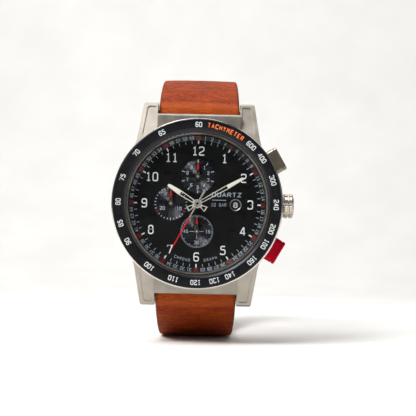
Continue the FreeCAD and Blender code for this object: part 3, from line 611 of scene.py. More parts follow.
def letters(text, height, squeeze=0.80, pen=0.14, spacing=1.0):
    """A word as a flat solid, height mm high and centred on the origin. pen is its share."""
    bm = bmesh.new()
    nib = pen * CELL_H / (1 - pen)
    step = (CELL_W + nib * 1.1 + 0.9) * spacing
    for i, sign in enumerate(text):
        if sign == " ":
            continue
        made = bmesh.new()
        for path in SIGNS[sign]:
            pen_stroke(made, softened(path, 0.0 if sign in SQUARE_SIGNS else 1.6), nib)
        bmesh.ops.translate(made, verts=made.verts, vec=(i * step, 0, 0))
        part = bpy.data.meshes.new("sign")
        made.to_mesh(part)
        made.free()
        bm.from_mesh(part)
        bpy.data.meshes.remove(part)
    middle = ((len(text) - 1) * step + CELL_W) / 2
    scale = height / (CELL_H + nib)
    bmesh.ops.translate(bm, verts=bm.verts, vec=(-middle, -CELL_H / 2, 0))
    bmesh.ops.scale(bm, verts=bm.verts, vec=(scale * squeeze, scale, 1))
    raised = bmesh.ops.extrude_face_region(bm, geom=bm.faces[:])["geom"]
    lifted = [g for g in raised if isinstance(g, bmesh.types.BMVert)]
    bmesh.ops.translate(bm, verts=bm.verts, vec=(0, 0, -INK / 2))
    bmesh.ops.translate(bm, verts=lifted, vec=(0, 0, INK))
    bmesh.ops.recalc_face_normals(bm, faces=bm.faces)
    mesh = bpy.data.meshes.new("word")
    bm.to_mesh(mesh)
    bm.free()
    return mesh


# %% Stamps and bars
def stamp(bm, mesh, place):
    """Add a mesh to a bmesh at a place, and let the mesh go."""
    mesh.transform(place)
    bm.from_mesh(mesh)
    bpy.data.meshes.remove(mesh)


def bar(bm, width, length, place):
    """A bar of ink, its length along the place's own Y."""
    bmesh.ops.create_cube(bm, size=1.0, matrix=place @ Matrix.Diagonal((width, length, INK, 1)))


def around(radius, angle, z, lean=0.0, x=0.0, y=0.0):
    """A place at an angle clockwise from 12, its top pointing outwards and leaning up."""
    turn = radians(angle)
    centre = Matrix.Translation((x + radius * sin(turn), y + radius * cos(turn), z))
    return centre @ Matrix.Rotation(-turn, 4, "Z") @ Matrix.Rotation(lean, 4, "X")


def upright(radius, angle, z, x=0.0, y=0.0):
    turn = radians(angle)
    return Matrix.Translation((x + radius * sin(turn), y + radius * cos(turn), z))


print("ink tools ready")

# %% [markdown]
# ## The bezel's scale
#
# A tachymeter turns a time over one kilometre into a speed: a sweep of 21600 / v degrees stands
# at the speed v, because 3600 seconds an hour and 6 degrees a second give that product. The
# scale therefore needs only its list of speeds. The last one, 600, makes room for the word and
# stands a few degrees on.

# %% Tachymeter
SPEEDS = (60, 65, 70, 75, 80, 85, 90, 100, 110, 120, 130, 140, 160, 180, 200, 240, 300, 400)
SCALE_R = 20.95
SPEED_TALL, SPEED_PEN = 1.34, 0.15
LAST_SPEED, LAST_SPEED_ANGLE = "600", 42.0
scale = bmesh.new()
for speed in SPEEDS:
    text = letters(str(speed), SPEED_TALL, 0.84, SPEED_PEN, 0.98)
    stamp(scale, text, around(SCALE_R, 21600 / speed, BEZEL_Z + INK / 2))
last = letters(LAST_SPEED, SPEED_TALL, 0.84, SPEED_PEN, 0.98)
stamp(scale, last, around(SCALE_R, LAST_SPEED_ANGLE, BEZEL_Z + INK / 2))
keep("tachymeter_numbers", scale, [bezel_white], "case")

WORD = "TACHYMETER"
WORD_FROM, WORD_TO = 7.6, 33.4
word = bmesh.new()
for i, letter in enumerate(WORD):
    angle = WORD_FROM + (WORD_TO - WORD_FROM) * i / (len(WORD) - 1)
    stamp(word, letters(letter, 1.30, 0.80, 0.18), around(SCALE_R, angle, BEZEL_Z + INK / 2))
keep("tachymeter_word", word, [ink_orange], "case")

# %% [markdown]
# ## Hours and minutes
#
# The hours are tall narrow numerals that all stand upright. The minute track is sixty ticks on
# the dial's edge, and its numbers lie on the sloping flange with their tops outwards, every
# fifth one in red.

# %% Hour numerals and minute track
HOUR_R = 14.25
hours = bmesh.new()
for hour in range(1, 13):
    text = letters(str(hour), 2.45, 0.86, 0.13, 1.0)
    stamp(hours, text, upright(HOUR_R, 30 * hour, DIAL_Z + INK / 2))
keep("hour_numerals", hours, [ink_white], "case")

TICK_R = 16.62
ticks = bmesh.new()
marks = bmesh.new()
for minute in range(60):
    if minute % 5:
        bar(ticks, 0.16, 0.80, around(TICK_R, 6 * minute, DIAL_Z + INK / 2))
    else:
        bar(marks, 0.34, 0.92, around(TICK_R, 6 * minute, DIAL_Z + INK / 2))
keep("minute_ticks", ticks, [ink_pale], "case")
keep("five_minute_marks", marks, [ink_white], "case")

FLANGE_LOW, FLANGE_HIGH = Vector((17.15, 7.48)), Vector((18.30, 7.95))
FLANGE_LEAN = atan2(FLANGE_HIGH.y - FLANGE_LOW.y, FLANGE_HIGH.x - FLANGE_LOW.x)
NUMBER_R = 17.74
share = (NUMBER_R - FLANGE_LOW.x) / (FLANGE_HIGH.x - FLANGE_LOW.x)
number_z = FLANGE_LOW.y + share * (FLANGE_HIGH.y - FLANGE_LOW.y) + INK / 2
numbers = {True: bmesh.new(), False: bmesh.new()}
for minute in range(1, 61):
    text = letters(str(minute), 0.95, 0.86, 0.13, 0.98)
    stamp(numbers[minute % 5 == 0], text, around(NUMBER_R, 6 * minute, number_z, FLANGE_LEAN))
keep("minute_numbers", numbers[False], [ink_pale], "case")
keep("five_minute_numbers", numbers[True], [ink_red], "case")

# %% [markdown]
# ## The counters' scales
#
# Tenths of a second at 12, minutes up to thirty at 9, running seconds at 6. Each has its own
# rhythm of ticks and numbers, and the seconds counter has a ring and a cross-hair.

# %% Counter scales
SCALE_Z = COUNTER_FLOOR + 0.03 + GROOVE_DEPTH + INK / 2
RIM_Z = DIAL_Z + INK / 2
counter_ink = bmesh.new()
counter_red = bmesh.new()
x, y = COUNTERS["tenths"]
for i in range(10):
    wide = 0.30 if i == 0 else 0.20
    bar(counter_ink, wide, 0.80, around(4.10, 36 * i, SCALE_Z, x=x, y=y))
    if i:
        stamp(counter_ink, letters(str(i), 0.95, 0.85, 0.17), upright(2.95, 36 * i, SCALE_Z, x, y))

x, y = COUNTERS["minute_counter"]
for i in range(30):
    long = 0.70 if i == 15 else 0.42
    if i % 10 or i == 0:
        bar(counter_ink, 0.20, long, around(4.18, 12 * i, SCALE_Z, x=x, y=y))
    else:
        bar(counter_red, 0.34, 0.42, around(4.18, 12 * i, SCALE_Z, x=x, y=y))
for label in (10, 20):
    text = letters(str(label), 0.98, 0.85, 0.17)
    stamp(counter_ink, text, upright(2.60, 12 * label, SCALE_Z, x, y))

x, y = COUNTERS["small_seconds"]
for i in range(12):
    bar(counter_ink, 0.14, 0.45, around(3.95, 30 * i, SCALE_Z, x=x, y=y))
for i in range(60):
    bar(counter_ink, 0.08, 0.22, around(4.06, 6 * i, SCALE_Z, x=x, y=y))
for label in (15, 30, 45):
    text = letters(str(label), 0.92, 0.85, 0.17)
    stamp(counter_ink, text, upright(2.95, 6 * label, SCALE_Z, x, y))
for angle in (90, 180, 270):
    bar(counter_ink, 0.12, 1.25, around(1.35, angle, SCALE_Z, x=x, y=y))
keep("counter_scales", counter_ink, [ink_pale], "case")
keep("counter_red_marks", counter_red, [ink_red], "case")
ring_section = [(4.22, SCALE_Z - INK / 2), (4.36, SCALE_Z - INK / 2),
                (4.36, SCALE_Z + INK / 2), (4.22, SCALE_Z + INK / 2)]
keep("seconds_ring", turned(ring_section, 120, x, y), [ink_grey], "case")

# %% [markdown]
# ## Words on the dial
#
# A dial carries a few plain words: what drives it, how much pressure it stands, what it does.
# They are generic here, in a light sans-serif, with a short rule under the first.

# %% Dial words
words = bmesh.new()
stamp(words, letters("QUARTZ", 1.22, 1.28, 0.16, 1.02), Matrix.Translation((7.85, 2.6, RIM_Z)))
bar(words, 3.7, 0.16, Matrix.Translation((5.85, 1.12, RIM_Z)))
stamp(words, letters("10 BAR", 0.95, 0.80, 0.13, 1.1), Matrix.Translation((5.75, -0.13, RIM_Z)))
for text, middle in (("CHRONO", 194.4), ("GRAPH", 165.6)):
    for i, letter in enumerate(text):
        angle = middle + (len(text) - 1) * 1.45 - i * 2.9
        place = around(15.25, angle, RIM_Z) @ Matrix.Rotation(pi, 4, "Z")
        stamp(words, letters(letter, 0.75, 0.90, 0.14), place)
keep("dial_words", words, [ink_pale], "case")

# %% [markdown]
# ## The date
#
# Thirty-one numbers run round the date ring, and the one at 3 o'clock shows in the window. They
# are printed on the ring and ride with it. The window has a sloping rim of rubbed metal, spun
# like the bezel, that catches the light on one side.

# %% Date numbers
WINDOW_R, WINDOW_ANGLE = 10.27, 90.6
WINDOW_X, WINDOW_Y = 10.27, -0.10
TODAY = 8
dates = bmesh.new()
for day in range(1, 32):
    angle = WINDOW_ANGLE + (day - TODAY) * 360 / 31
    place = around(WINDOW_R, angle, DATE_Z + INK / 2) @ Matrix.Rotation(pi / 2, 4, "Z")
    narrow = 1.15 if day < 10 else 0.60
    stamp(dates, letters(str(day), 1.36, narrow, 0.15, 0.95), place)
keep("date_numbers", dates, [ink_white], "date")

rim_section = [(1.33, 7.10), (1.56, 7.27), (1.62, 7.27), (1.62, 7.315), (1.55, 7.315), (1.33, 7.16)]
rim = turned(rim_section, 96, WINDOW_X, WINDOW_Y)
keep("date_window_rim", rim, [rim_steel], "case", 30)

# %% [markdown]
# ## Lume on the hands
#
# The outer part of the hour and minute hands is filled with cream-white luminous paint that
# stands a little proud. A grid, narrowed row by row to the hand's outline and then extruded,
# gives the fill; the bevel leaves the soft edge of a brushed-on paint.


# %% Fill plates
def fill_plate(rows, z, thick, angle):
    """A plate through (reach, half width) rows, turned clockwise to its hand."""
    bm = bmesh.new()
    bmesh.ops.create_grid(bm, x_segments=1, y_segments=len(rows) - 1, size=0.5)
    steps = sorted({round(v.co.y, 5) for v in bm.verts})
    for v in bm.verts:
        reach, half = rows[steps.index(round(v.co.y, 5))]
        v.co = ((half if v.co.x > 0 else -half), reach, z)
    raised = bmesh.ops.extrude_face_region(bm, geom=bm.faces[:])["geom"]
    lifted = [g for g in raised if isinstance(g, bmesh.types.BMVert)]
    bmesh.ops.translate(bm, verts=lifted, vec=(0, 0, thick))
    bmesh.ops.recalc_face_normals(bm, faces=bm.faces)
    top = [e for e in bm.edges if all(abs(v.co.z - z - thick) < 1e-4 for v in e.verts)
           and e.calc_face_angle(0) > 1.0]
    bmesh.ops.bevel(bm, geom=top, offset=thick * 0.7, segments=2, profile=0.5, affect="EDGES",
                    offset_type="OFFSET", material=-1)
    turn = Matrix.Rotation(-radians(angle), 3, "Z")
    bmesh.ops.rotate(bm, verts=bm.verts, cent=(0, 0, 0), matrix=turn)
    return bm


HOUR_ANGLE, MINUTE_ANGLE = 302.0, 60.0
hour_rows = [(5.65, 0.640), (7.2, 0.540), (8.85, 0.430), (9.32, 0.19)]
minute_rows = [(9.5, 0.525), (11.6, 0.430), (13.75, 0.325), (14.12, 0.13)]
keep("hour_lume", fill_plate(hour_rows, height_of("hour_hand") - 0.01, 0.07, HOUR_ANGLE),
     [lume], "hour")
keep("minute_lume", fill_plate(minute_rows, height_of("minute_hand") - 0.01, 0.07, MINUTE_ANGLE),
     [lume], "minute")

dot_z = height_of("chrono_hand")
DOT_R, DOT_HALF = 0.34, 0.02
low, high = dot_z - DOT_HALF, dot_z + DOT_HALF
dot = turned([(0.0, low), (DOT_R, low), (DOT_R, high), (0.0, high)], 32)
keep("hub_dot", dot, [date_black], "chrono_seconds")

# %% [markdown]
# ## Leather
#
# Vegetable-tanned cowhide for a strap: a tan, waxed grain side with fine wrinkles that run across
# the width, where the strap has been bent, and pores between them. Near the spring bar the leather
# is painted paler, a painted highlight for the light on the pad that faces the lamps. Its cut edges
# are painted dark and burnished. The wrinkles must follow the strap round its bend, so the pattern
# reads an attribute that holds each point's place on the flat, unbent strap, in millimetres.


# %% Leather finishes
def grain_leather():
    f = Finish("tan_strap_leather", srgb(146, 48, 6), 0.0, 0.58, Specular_IOR_Level=0.10)
    flat = f.surface("flat_place")
    wavy = f.noise(f.stretched(flat, (0.16, 0.9, 0.4)), 1.0, 4.0, 0.9)
    folds = f.noise(f.stretched(flat, (0.45, 2.6, 1.0)), 1.0, 5.0, 1.2)
    crease = f.maths("ABSOLUTE", f.maths("MULTIPLY_ADD", folds, 2.0, -1.0))
    crease = f.spread(crease, 1.0, 0.0, 0.0, 0.16)
    pores = f.spread(f.cells(f.stretched(flat, (3.2, 4.6, 3.2)), 1.0), 0.0, 1.0, 0.10, 0.45)
    fine = f.noise(f.stretched(flat, (5.0, 8.0, 5.0)), 1.0, 3.0)
    patch = f.noise(flat, 0.12, 3.0)
    warm = f.blend(f.spread(patch, 0.0, 1.0, 0.35, 0.65), srgb(122, 36, 4), srgb(146, 48, 6))
    # partly mottle and partly painted shading: the wavy wrinkles' crests are painted lighter and
    # their hollows darker
    shaded = f.blend(f.spread(wavy, 0.0, 0.90, 0.36, 0.64), warm, srgb(182, 76, 16))
    # painted shade: the crease lines are painted dark, as shade in them would look
    lined = f.blend(f.maths("MULTIPLY", crease, 0.75), shaded, srgb(78, 26, 8))
    speckled = f.blend(f.spread(fine, 0.25, 0.0, 0.3, 0.6), lined, srgb(98, 38, 12))
    parts = f.node("ShaderNodeSeparateXYZ", {"Vector": flat})
    # painted highlight: the leather is paler near the spring bar, for the light on the pad
    pad_painted_light = f.blend(f.spread(parts.outputs["Y"], 0.50, 0.0, 0.4, 2.4), speckled, srgb(186, 88, 36))
    side = f.spread(f.maths("ABSOLUTE", parts.outputs["X"]), 0.0, 0.55, 9.9, 10.9)
    f.colour(f.blend(side, pad_painted_light, srgb(100, 38, 14)))
    f.rough(f.spread(f.maths("MULTIPLY_ADD", fine, 0.5, f.maths("MULTIPLY", wavy, 0.5)),
                     0.50, 0.66))
    height = f.maths("MULTIPLY_ADD", wavy, 0.9, f.maths("MULTIPLY", crease, -0.60))
    height = f.maths("MULTIPLY_ADD", pores, 0.25, height)
    height = f.maths("MULTIPLY_ADD", fine, 0.22, height)
    f.raise_by(height, 0.00014)
    return f.material


def suede_leather():
    f = Finish("suede_lining_leather", srgb(196, 150, 104), 0.0, 0.85, Sheen_Weight=0.25)
    flat = f.surface("flat_place")
    nap = f.noise(flat, 6.0, 5.0)
    cloud = f.noise(flat, 0.35, 3.0)
    tone = f.blend(f.spread(cloud, 0.0, 1.0), srgb(176, 128, 84), srgb(206, 162, 116))
    f.colour(f.blend(f.spread(nap, 0.35, 0.0), tone, srgb(140, 98, 62)))
    f.rough(f.spread(nap, 0.78, 0.95))
    f.raise_by(nap, 0.00005)
    return f.material


def edge_paint():
    f = Finish("burnished_edge_paint", srgb(86, 38, 18), 0.0, 0.38)
    flat = f.surface("flat_place")
    run = f.noise(f.stretched(flat, (1.0, 0.6, 2.0)), 1.4, 3.0)
    f.colour(f.blend(f.spread(run, 0.0, 1.0), srgb(74, 30, 14), srgb(110, 52, 26)))
    f.rough(f.spread(run, 0.30, 0.48))
    f.raise_by(run, 0.00004)
    return f.material


strap_leather = grain_leather()
lining_leather = suede_leather()
strap_edge = edge_paint()
print("leather finishes made")

# %% [markdown]
# ## The strap's line
#
# A worn strap keeps the curve of the wrist. From the spring bar each half bends on a radius of
# 40 mm; the long half straightens a little behind the wrist. One function gives the point and
# heading at any length along the strap, and every strap piece is drawn flat and then bent by it.

# %% Width, thickness and line of the strap
BAR_Y = (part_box("spring_bars")[1].z - 0.00095) / MM
BAR_Z = -(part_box("spring_bars")[0].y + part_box("spring_bars")[1].y) / 2 / MM
STRAP_W, BUCKLE_W = 22.0, 19.8
STRAP_START = radians(46.5)
STRAP_BEND, LONG_BEND = 40.0, 75.0
SHORT_LEN, LONG_LEN = 76.0, 116.0
T0, T1, T2 = 4.2, 3.0, 2.4
TIP_LEN = 9.0
LINING_T, LINING_START, LINING_END = 0.7, 5.0, 67.0
print("spring bars at %.2f, %.2f" % (BAR_Y, BAR_Z))


def strap_line(s, long_half):
    """Point (y, z) and heading below the horizontal at length s."""
    a = STRAP_START
    if s < 0:
        return BAR_Y + s * cos(a), BAR_Z - s * sin(a), a
    first = (pi / 2 - a) * STRAP_BEND
    if not long_half or s <= first:
        b = a + s / STRAP_BEND
        y = BAR_Y + STRAP_BEND * (sin(b) - sin(a))
        return y, BAR_Z - STRAP_BEND * (cos(a) - cos(b)), b
    b = pi / 2 + (s - first) / LONG_BEND
    y = BAR_Y + STRAP_BEND * (1 - sin(a)) + LONG_BEND * (sin(b) - 1)
    return y, BAR_Z - STRAP_BEND * cos(a) + LONG_BEND * cos(b), b


def strap_width(s, length, long_half):
    w = STRAP_W - (STRAP_W - BUCKLE_W) * min(1.0, max(s, 0.0) / 45)
    left = length - s
    if long_half and left < TIP_LEN:
        w = max(w * sqrt(max(0.0, 1 - (1 - left / TIP_LEN) ** 2)), 4.0)
    return w


def strap_thickness(s):
    if s < 12:
        return T0 + (T1 - T0) * max(s, 0.0) / 12
    return T1 + (T2 - T1) * min(1.0, (s - 12) / 30)


def bent(point, long_half):
    """A point (x, length, offset) of the flat strap, on the bent one."""
    y, z, b = strap_line(point.y, long_half)
    return Vector((point.x, y + point.z * sin(b), z + point.z * cos(b)))


# %% [markdown]
# ## Leather over the spring bar
#
# Where the strap meets the case the leather turns round the spring bar and is pressed flat
# against the case's shoulder, so its outer face looks straight out before it dives behind the
# wrist. The section is a flat top, a rounded corner and a round belly; two short formulas give
# its upper and lower edge.


# %% Upper and lower face of the leather
PAD_END, PAD_CORNER, PAD_LIFT = -2.72, -0.97, 0.26
LOOP_R = 1.55


def ease(value, low, high):
    """0 below low, 1 above high, smooth between."""
    t = min(1.0, max(0.0, (value - low) / (high - low)))
    return t * t * (3 - 2 * t)


def leather_top(s, length, long_half):
    if s < 1.0:
        q = 1.05 * (s - PAD_CORNER)
        folded = 0.5 * (q - sqrt(q * q + 0.16))
        return max(PAD_LIFT, T0 / 2 + min(folded, 0.0) * (1 - ease(s, 0.0, 1.0)))
    top = strap_thickness(s) / 2
    if not long_half and s > length - 4:
        top += (LOOP_R - top) * ease(s, length - 4, length - 1)
        if s > length:
            top = LOOP_R * sqrt(max(0.0, 1 - ((s - length) / LOOP_R) ** 2))
    return top


def leather_low(s, length, long_half):
    if s < 0:
        round_back = max(0.0, 1 - (s / PAD_END) ** 1.6) ** 0.625
        return PAD_LIFT - (T0 / 2 + PAD_LIFT) * round_back
    low = -strap_thickness(s) / 2
    lined = ease(s, LINING_START - 0.4, LINING_START)
    if not long_half:
        lined *= 1 - ease(s, LINING_END, LINING_END + 0.4)
        if s > length - 4:
            low += (-LOOP_R - low) * ease(s, length - 4, length - 1)
        if s > length:
            low = -LOOP_R * sqrt(max(0.0, 1 - ((s - length) / LOOP_R) ** 2))
    return low + lined * (LINING_T + 0.01)


at_bar = leather_low(0, SHORT_LEN, False), leather_top(0, SHORT_LEN, False)
print("leather at the bar: %.2f to %.2f mm" % at_bar)

# %% [markdown]
# ## A strip, cut and then bent
#
# A strip of leather starts as a box: its long edges are bevelled round, planes slice it into
# short lengths so that it can bend, holes are punched while it is flat, and only then does every
# point move to the curve. Punching first keeps the holes round.


# %% Strip tools
SLAB = 3.0


def slab(width, start, end, along, across, soft_top, soft_low):
    """A flat strip from start to end with rounded long edges, sliced both ways."""
    bm = bmesh.new()
    middle = Matrix.Translation((0, (start + end) / 2, SLAB / 2))
    size = Matrix.Diagonal((width, end - start, SLAB, 1))
    bmesh.ops.create_cube(bm, size=1.0, matrix=middle @ size)
    for z, soft in ((SLAB, soft_top), (0.0, soft_low)):
        rim = [e for e in bm.edges if all(abs(v.co.z - z) < 1e-4 for v in e.verts)
               and abs(e.verts[0].co.x - e.verts[1].co.x) < 1e-4]
        bmesh.ops.bevel(bm, geom=rim, offset=soft, segments=4, profile=0.5, affect="EDGES",
                        offset_type="OFFSET", material=-1)
    for s in along:
        bmesh.ops.bisect_plane(bm, geom=bm.verts[:] + bm.edges[:] + bm.faces[:],
                               plane_co=(0, s, 0), plane_no=(0, 1, 0))
    for i in range(1, across):
        x = width * (i / across - 0.5)
        bmesh.ops.bisect_plane(bm, geom=bm.verts[:] + bm.edges[:] + bm.faces[:],
                               plane_co=(x, 0, 0), plane_no=(1, 0, 0))
    return bm


def cylinder_cutter(radius, depth, place, segments=32):
    bm = bmesh.new()
    bmesh.ops.create_cone(bm, cap_ends=True, segments=segments, radius1=radius, radius2=radius,
                          depth=depth, matrix=place)
    return bm


def box_cutter(size, place):
    bm = bmesh.new()
    bmesh.ops.create_cube(bm, size=1.0, matrix=place @ Matrix.Diagonal((*size, 1)))
    return bm


def punched(bm, cutters):
    """Take the cutters out of a closed bmesh, and give back the new bmesh."""
    def loose(made):
        mesh = bpy.data.meshes.new("loose")
        made.to_mesh(mesh)
        made.free()
        holder = bpy.data.objects.new("loose", mesh)
        bpy.context.scene.collection.objects.link(holder)
        return holder

    body = loose(bm)
    punches = [loose(cutter) for cutter in cutters]
    for punch in punches:
        cut = body.modifiers.new("punch", "BOOLEAN")
        cut.operation, cut.solver, cut.object = "DIFFERENCE", "EXACT", punch
    bpy.context.view_layer.update()
    shaped = body.evaluated_get(bpy.context.evaluated_depsgraph_get())
    result = bmesh.new()
    result.from_mesh(shaped.to_mesh())
    shaped.to_mesh_clear()
    for holder in [body, *punches]:
        mesh = holder.data
        bpy.data.objects.remove(holder)
        bpy.data.meshes.remove(mesh)
    return result


def wrinkle(x, s):
    """Height of the leather's low folds, in millimetres."""
    fold = noise.noise(Vector((x * 0.10, s * 0.55, 3.0)))
    patch = noise.noise(Vector((x * 0.35, s * 0.9, 9.0)))
    return 0.045 * fold + 0.03 * patch


def bend_strip(bm, long_half, top_of, low_of, width_of, crown=0.0):
    """Move a flat strip's points to the bent strap, and store where they lay."""
    layer = bm.verts.layers.float_vector.new("flat_place")
    for v in bm.verts:
        x, s, n = v.co
        u = n / SLAB
        x *= width_of(s) / STRAP_W
        v[layer] = (x, s, n)
        low, top = low_of(s), top_of(s)
        rise = (wrinkle(x, s) - crown * (2 * x / STRAP_W) ** 2) * u * ease(s, PAD_END, 0.0)
        v.co = bent(Vector((x, s, low + u * (top - low) + rise)), long_half)
    bmesh.ops.recalc_face_normals(bm, faces=bm.faces)


print("strip tools ready")

# %% [markdown]
# ## The two leather halves
#
# The short half ends in a loop round the buckle's bar, with a slot for the tang. The long half
# ends in a rounded tip and has seven holes. Both have the same softened top edge and a painted
# side, which is chosen by where a face looks.


# %% Leather halves
def stations(start, end, long_half):
    """Lengths at which a strip is sliced: close together where it curves sharply."""
    cuts = [start + (1.2 - start) * (1 - cos(pi / 2 * i / 14)) for i in range(1, 14)]
    s = 1.2
    while s < end - 0.2:
        cuts.append(s)
        near_end = end - s < (TIP_LEN if long_half else 5.0)
        s += 0.35 if near_end else 0.8
    return cuts


def paint_edges(bm):
    """Second material on faces that look sideways, where the edge paint is."""
    for face in bm.faces:
        if abs(face.normal.x) > 0.80:
            face.material_index = 1


def mirrored(bm):
    """Carry a strip from the 12 o'clock side to the 6 o'clock side."""
    bmesh.ops.scale(bm, vec=(1, -1, 1), verts=bm.verts)
    bmesh.ops.reverse_faces(bm, faces=bm.faces)


HOLE_R, HOLES, HOLE_STEP, LAST_HOLE = 0.95, 7, 6.3, 24.0
BAR_HOLE_R, BUCKLE_HOLE_R, TANG_SLOT = 0.80, 0.74, 3.4


def hole_cutters():
    """The buckle's row of holes in the long half, the last one nearest to the tip."""
    places = [(0, LONG_LEN - LAST_HOLE - HOLE_STEP * i, SLAB / 2) for i in range(HOLES)]
    return [cylinder_cutter(HOLE_R, 9, Matrix.Translation(place)) for place in places]


def strap_half(name, long_half, body, node):
    length = LONG_LEN if long_half else SHORT_LEN
    end = length if long_half else length + LOOP_R
    strip = slab(STRAP_W, PAD_END, end, stations(PAD_END, end, long_half), 34, 0.75, 0.20)
    across = Matrix.Rotation(pi / 2, 4, "Y")
    ref = SLAB / (leather_top(0, length, long_half) - leather_low(0, length, long_half))
    bar_n = -leather_low(0, length, long_half) * ref
    cutters = [cylinder_cutter(BAR_HOLE_R, 30, Matrix.Translation((0, 0, bar_n)) @ across)]
    if long_half:
        cutters += hole_cutters()
    else:
        place = Matrix.Translation((0, length, SLAB / 2))
        cutters.append(box_cutter((TANG_SLOT * STRAP_W / BUCKLE_W, 12.0, 9.0), place))
        cutters.append(cylinder_cutter(BUCKLE_HOLE_R, 30, place @ across))
    strip = punched(strip, cutters)
    bend_strip(strip, long_half, lambda s: leather_top(s, length, long_half),
               lambda s: leather_low(s, length, long_half),
               lambda s: strap_width(s, length, long_half), 0.22)
    if long_half:
        mirrored(strip)
    paint_edges(strip)
    piece = keep(name, strip, [strap_leather, strap_edge], body, 50)
    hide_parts(node)
    return piece


strap_half("short_strap_leather", False, "short_strap", "short_strap")
strap_half("long_strap_leather", True, "long_strap", "long_strap")


# %% [markdown]
# ## The lining
#
# A softer suede lies against the wrist. It is a hair narrower than the leather above it, starts
# behind the spring-bar loop, and on the long half has the same holes.


# %% Lining strips
def lining_half(name, long_half, body, node):
    length = LONG_LEN if long_half else SHORT_LEN
    end = length - 0.3 if long_half else LINING_END
    cuts = [c for c in stations(LINING_START + 0.1, length, long_half) if LINING_START < c < end]
    strip = slab(STRAP_W - 0.10, LINING_START + 0.1, end, cuts, 12, 0.3, 0.9)
    if long_half:
        strip = punched(strip, hole_cutters())
    bend_strip(strip, long_half, lambda s: -strap_thickness(s) / 2 + LINING_T,
               lambda s: -strap_thickness(s) / 2,
               lambda s: strap_width(s, length, long_half) - 0.10)
    if long_half:
        mirrored(strip)
    piece = keep(name, strip, [lining_leather], body, 50)
    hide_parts(node)


lining_half("short_strap_suede", False, "short_strap", "short_strap_lining")
lining_half("long_strap_suede", True, "long_strap", "long_strap_lining")


# %% [markdown]
# ## Keepers
#
# Two leather bands hold the long half down. Each is a loop of the strap's own leather: a tube
# with rounded corners, given its wall by solidify, softened at the rims and bent on the strap's
# line like the rest. The fixed one sits by the buckle, and the free one slides.


# %% Leather loops
def keeper(name, s, gap, body, node):
    wide, wall, room = 5.0, 1.1, 2.6
    half = strap_width(s, SHORT_LEN, False) / 2 + gap + wall
    t = strap_thickness(s) / 2
    low, top = -t - gap - wall, t + gap + room + wall
    bm = bmesh.new()
    middle = Matrix.Translation((0, s, (low + top) / 2))
    size = Matrix.Diagonal((2 * half, wide, top - low, 1))
    bmesh.ops.create_cube(bm, size=1.0, matrix=middle @ size)
    ends = [f for f in bm.faces if abs(f.normal.y) > 0.9]
    bmesh.ops.delete(bm, geom=ends, context="FACES_ONLY")
    corners = [e for e in bm.edges if abs(e.verts[0].co.y - e.verts[1].co.y) > 1]
    bmesh.ops.bevel(bm, geom=corners, offset=1.15, segments=5, profile=0.5, affect="EDGES",
                    offset_type="OFFSET", material=-1)
    for i in range(1, 24):
        bmesh.ops.bisect_plane(bm, geom=bm.verts[:] + bm.edges[:] + bm.faces[:],
                               plane_co=(half * (i / 12 - 1), 0, 0), plane_no=(1, 0, 0))
    bmesh.ops.recalc_face_normals(bm, faces=bm.faces)
    bmesh.ops.solidify(bm, geom=bm.faces[:], thickness=wall)
    rims = [e for e in bm.edges if len(e.link_faces) == 2 and e.calc_face_angle(0) > 1.2]
    bmesh.ops.bevel(bm, geom=rims, offset=0.28, segments=3, profile=0.5, affect="EDGES",
                    offset_type="OFFSET", material=-1)
    for i in range(1, 6):
        bmesh.ops.bisect_plane(bm, geom=bm.verts[:] + bm.edges[:] + bm.faces[:],
                               plane_co=(0, s + wide * (i / 6 - 0.5), 0), plane_no=(0, 1, 0))
    bmesh.ops.recalc_face_normals(bm, faces=bm.faces)
    for face in bm.faces:
        if abs(face.normal.y) > 0.6:
            face.material_index = 1
    layer = bm.verts.layers.float_vector.new("flat_place")
    for v in bm.verts:
        x, along, n = v.co
        v[layer] = (x * 0.8, along * 1.6 + 40, n)
        v.co = bent(v.co, False)
    piece = keep(name, bm, [strap_leather, strap_edge], body, 45)
    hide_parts(node)


keeper("fixed_keeper_leather", SHORT_LEN - 11, 0.08, "short_strap", "fixed_keeper")
keeper("free_keeper_leather", SHORT_LEN - 26, 0.3, "free_keeper", "free_keeper")

# %% [markdown]
# ## The studio
#
# A pale floor sweeps up into a backdrop with no corner, so that nothing distracts. A large soft
# lamp above and a little to the left is the key, and one straight above lights the faces that
# look up. A weaker one on the right fills, a narrow one behind draws the strap's edge, and the
# last lights only the backdrop. The watch stands on the low bend of its strap.

# %% Floor and backdrop
FLOOR_Z = cad_box[0].z - 0.0001
WALL_Y, FRONT_Y, SWEEP_R, WALL_TOP, STAGE_HALF = 0.55, -0.50, 0.22, 0.9, 1.2


def studio_sweep():
    bm = bmesh.new()
    corner = Vector((-STAGE_HALF, FRONT_Y, FLOOR_Z))
    profile = [bm.verts.new(corner)]
    for i in range(17):
        turn = pi / 2 * i / 16
        y = WALL_Y - SWEEP_R + SWEEP_R * sin(turn)
        profile.append(bm.verts.new((-STAGE_HALF, y, FLOOR_Z + SWEEP_R * (1 - cos(turn)))))
    profile.append(bm.verts.new((-STAGE_HALF, WALL_Y, WALL_TOP)))
    edges = [bm.edges.new(pair) for pair in zip(profile, profile[1:])]
    side = bmesh.ops.extrude_edge_only(bm, edges=edges)["geom"]
    moved = [g for g in side if isinstance(g, bmesh.types.BMVert)]
    bmesh.ops.translate(bm, verts=moved, vec=(2 * STAGE_HALF, 0, 0))
    bmesh.ops.recalc_face_normals(bm, faces=bm.faces)
    mesh = bpy.data.meshes.new("studio_sweep")
    bm.to_mesh(mesh)
    bm.free()
    mesh.shade_smooth()
    paper = Finish("studio_paper", srgb(232, 231, 229), 0.0, 0.9)
    paper.colour(paper.blend(paper.spread(paper.noise(paper.place(), 30.0), 0.0, 1.0),
                             srgb(229, 228, 226), srgb(235, 234, 232)))
    mesh.materials.append(paper.material)
    floor = bpy.data.objects.new("studio_sweep", mesh)
    bpy.context.scene.collection.objects.link(floor)


studio_sweep()


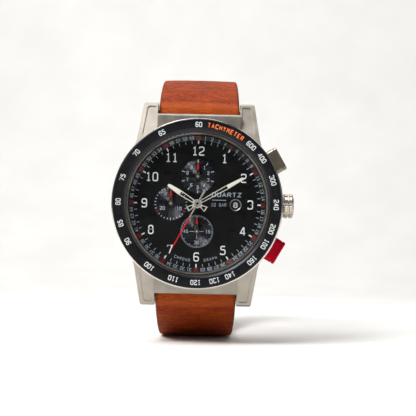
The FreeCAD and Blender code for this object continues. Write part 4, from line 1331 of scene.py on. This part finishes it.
# %% Lamps and world
def lamp(name, place, aim, size, power, colour=(1, 1, 1)):
    light = bpy.data.lights.new(name, "AREA")
    light.shape, light.size, light.size_y = "RECTANGLE", size[0], size[1]
    light.energy, light.color = power, colour
    holder = bpy.data.objects.new(name, light)
    holder.location = place
    holder.rotation_euler = (Vector(aim) - Vector(place)).to_track_quat("-Z", "Y").to_euler()
    bpy.context.scene.collection.objects.link(holder)


CENTRE = (0.0, 0.0, 0.0)
lamp("key_lamp", (-0.24, -0.26, 0.36), CENTRE, (0.24, 0.20), 3.0, (1.0, 0.98, 0.95))
lamp("top_lamp", (-0.08, -0.10, 0.46), CENTRE, (0.34, 0.20), 1.2)
lamp("fill_lamp", (0.42, -0.30, 0.10), CENTRE, (0.30, 0.40), 0.35)
lamp("edge_lamp", (0.05, 0.30, 0.42), (0.0, 0.02, 0.0), (0.5, 0.10), 0.5)
lamp("backdrop_lamp", (0.0, 0.18, 0.42), (0.0, 0.55, 0.05), (0.9, 0.2), 1.2)
world = bpy.data.worlds.new("studio_room")
world.use_nodes = True
room = world.node_tree.nodes["Background"]
room.inputs["Color"].default_value = srgb(196, 200, 206)
room.inputs["Strength"].default_value = 0.17
bpy.context.scene.world = world
bpy.context.scene.view_settings.view_transform = "Standard"

# %% [markdown]
# ## The camera
#
# The watch is seen almost squarely from in front with a short telephoto lens, 300 mm from the
# bezel, from 2 degrees below the dial's axis and turned by about a degree.

# %% Camera
CAMERA_FROM_BEZEL = 0.300
TILT, ROLL = radians(2.0), radians(1.2)
LENS, SENSOR = 98.1, 36.0
aim = spot(2.9, -1.2, BEZEL_Z)
eye = bpy.data.cameras.new("camera")
eye.lens, eye.sensor_width = LENS, SENSOR
eye.clip_start, eye.clip_end = 0.01, 10.0
camera = bpy.data.objects.new("camera", eye)
camera.location = aim + CAMERA_FROM_BEZEL * Vector((0, -cos(TILT), -sin(TILT)))
facing = (aim - camera.location).to_track_quat("-Z", "Y")
camera.rotation_euler = (facing.to_matrix().to_4x4() @ Matrix.Rotation(ROLL, 4, "Z")).to_euler()
bpy.context.scene.collection.objects.link(camera)
bpy.context.scene.camera = camera
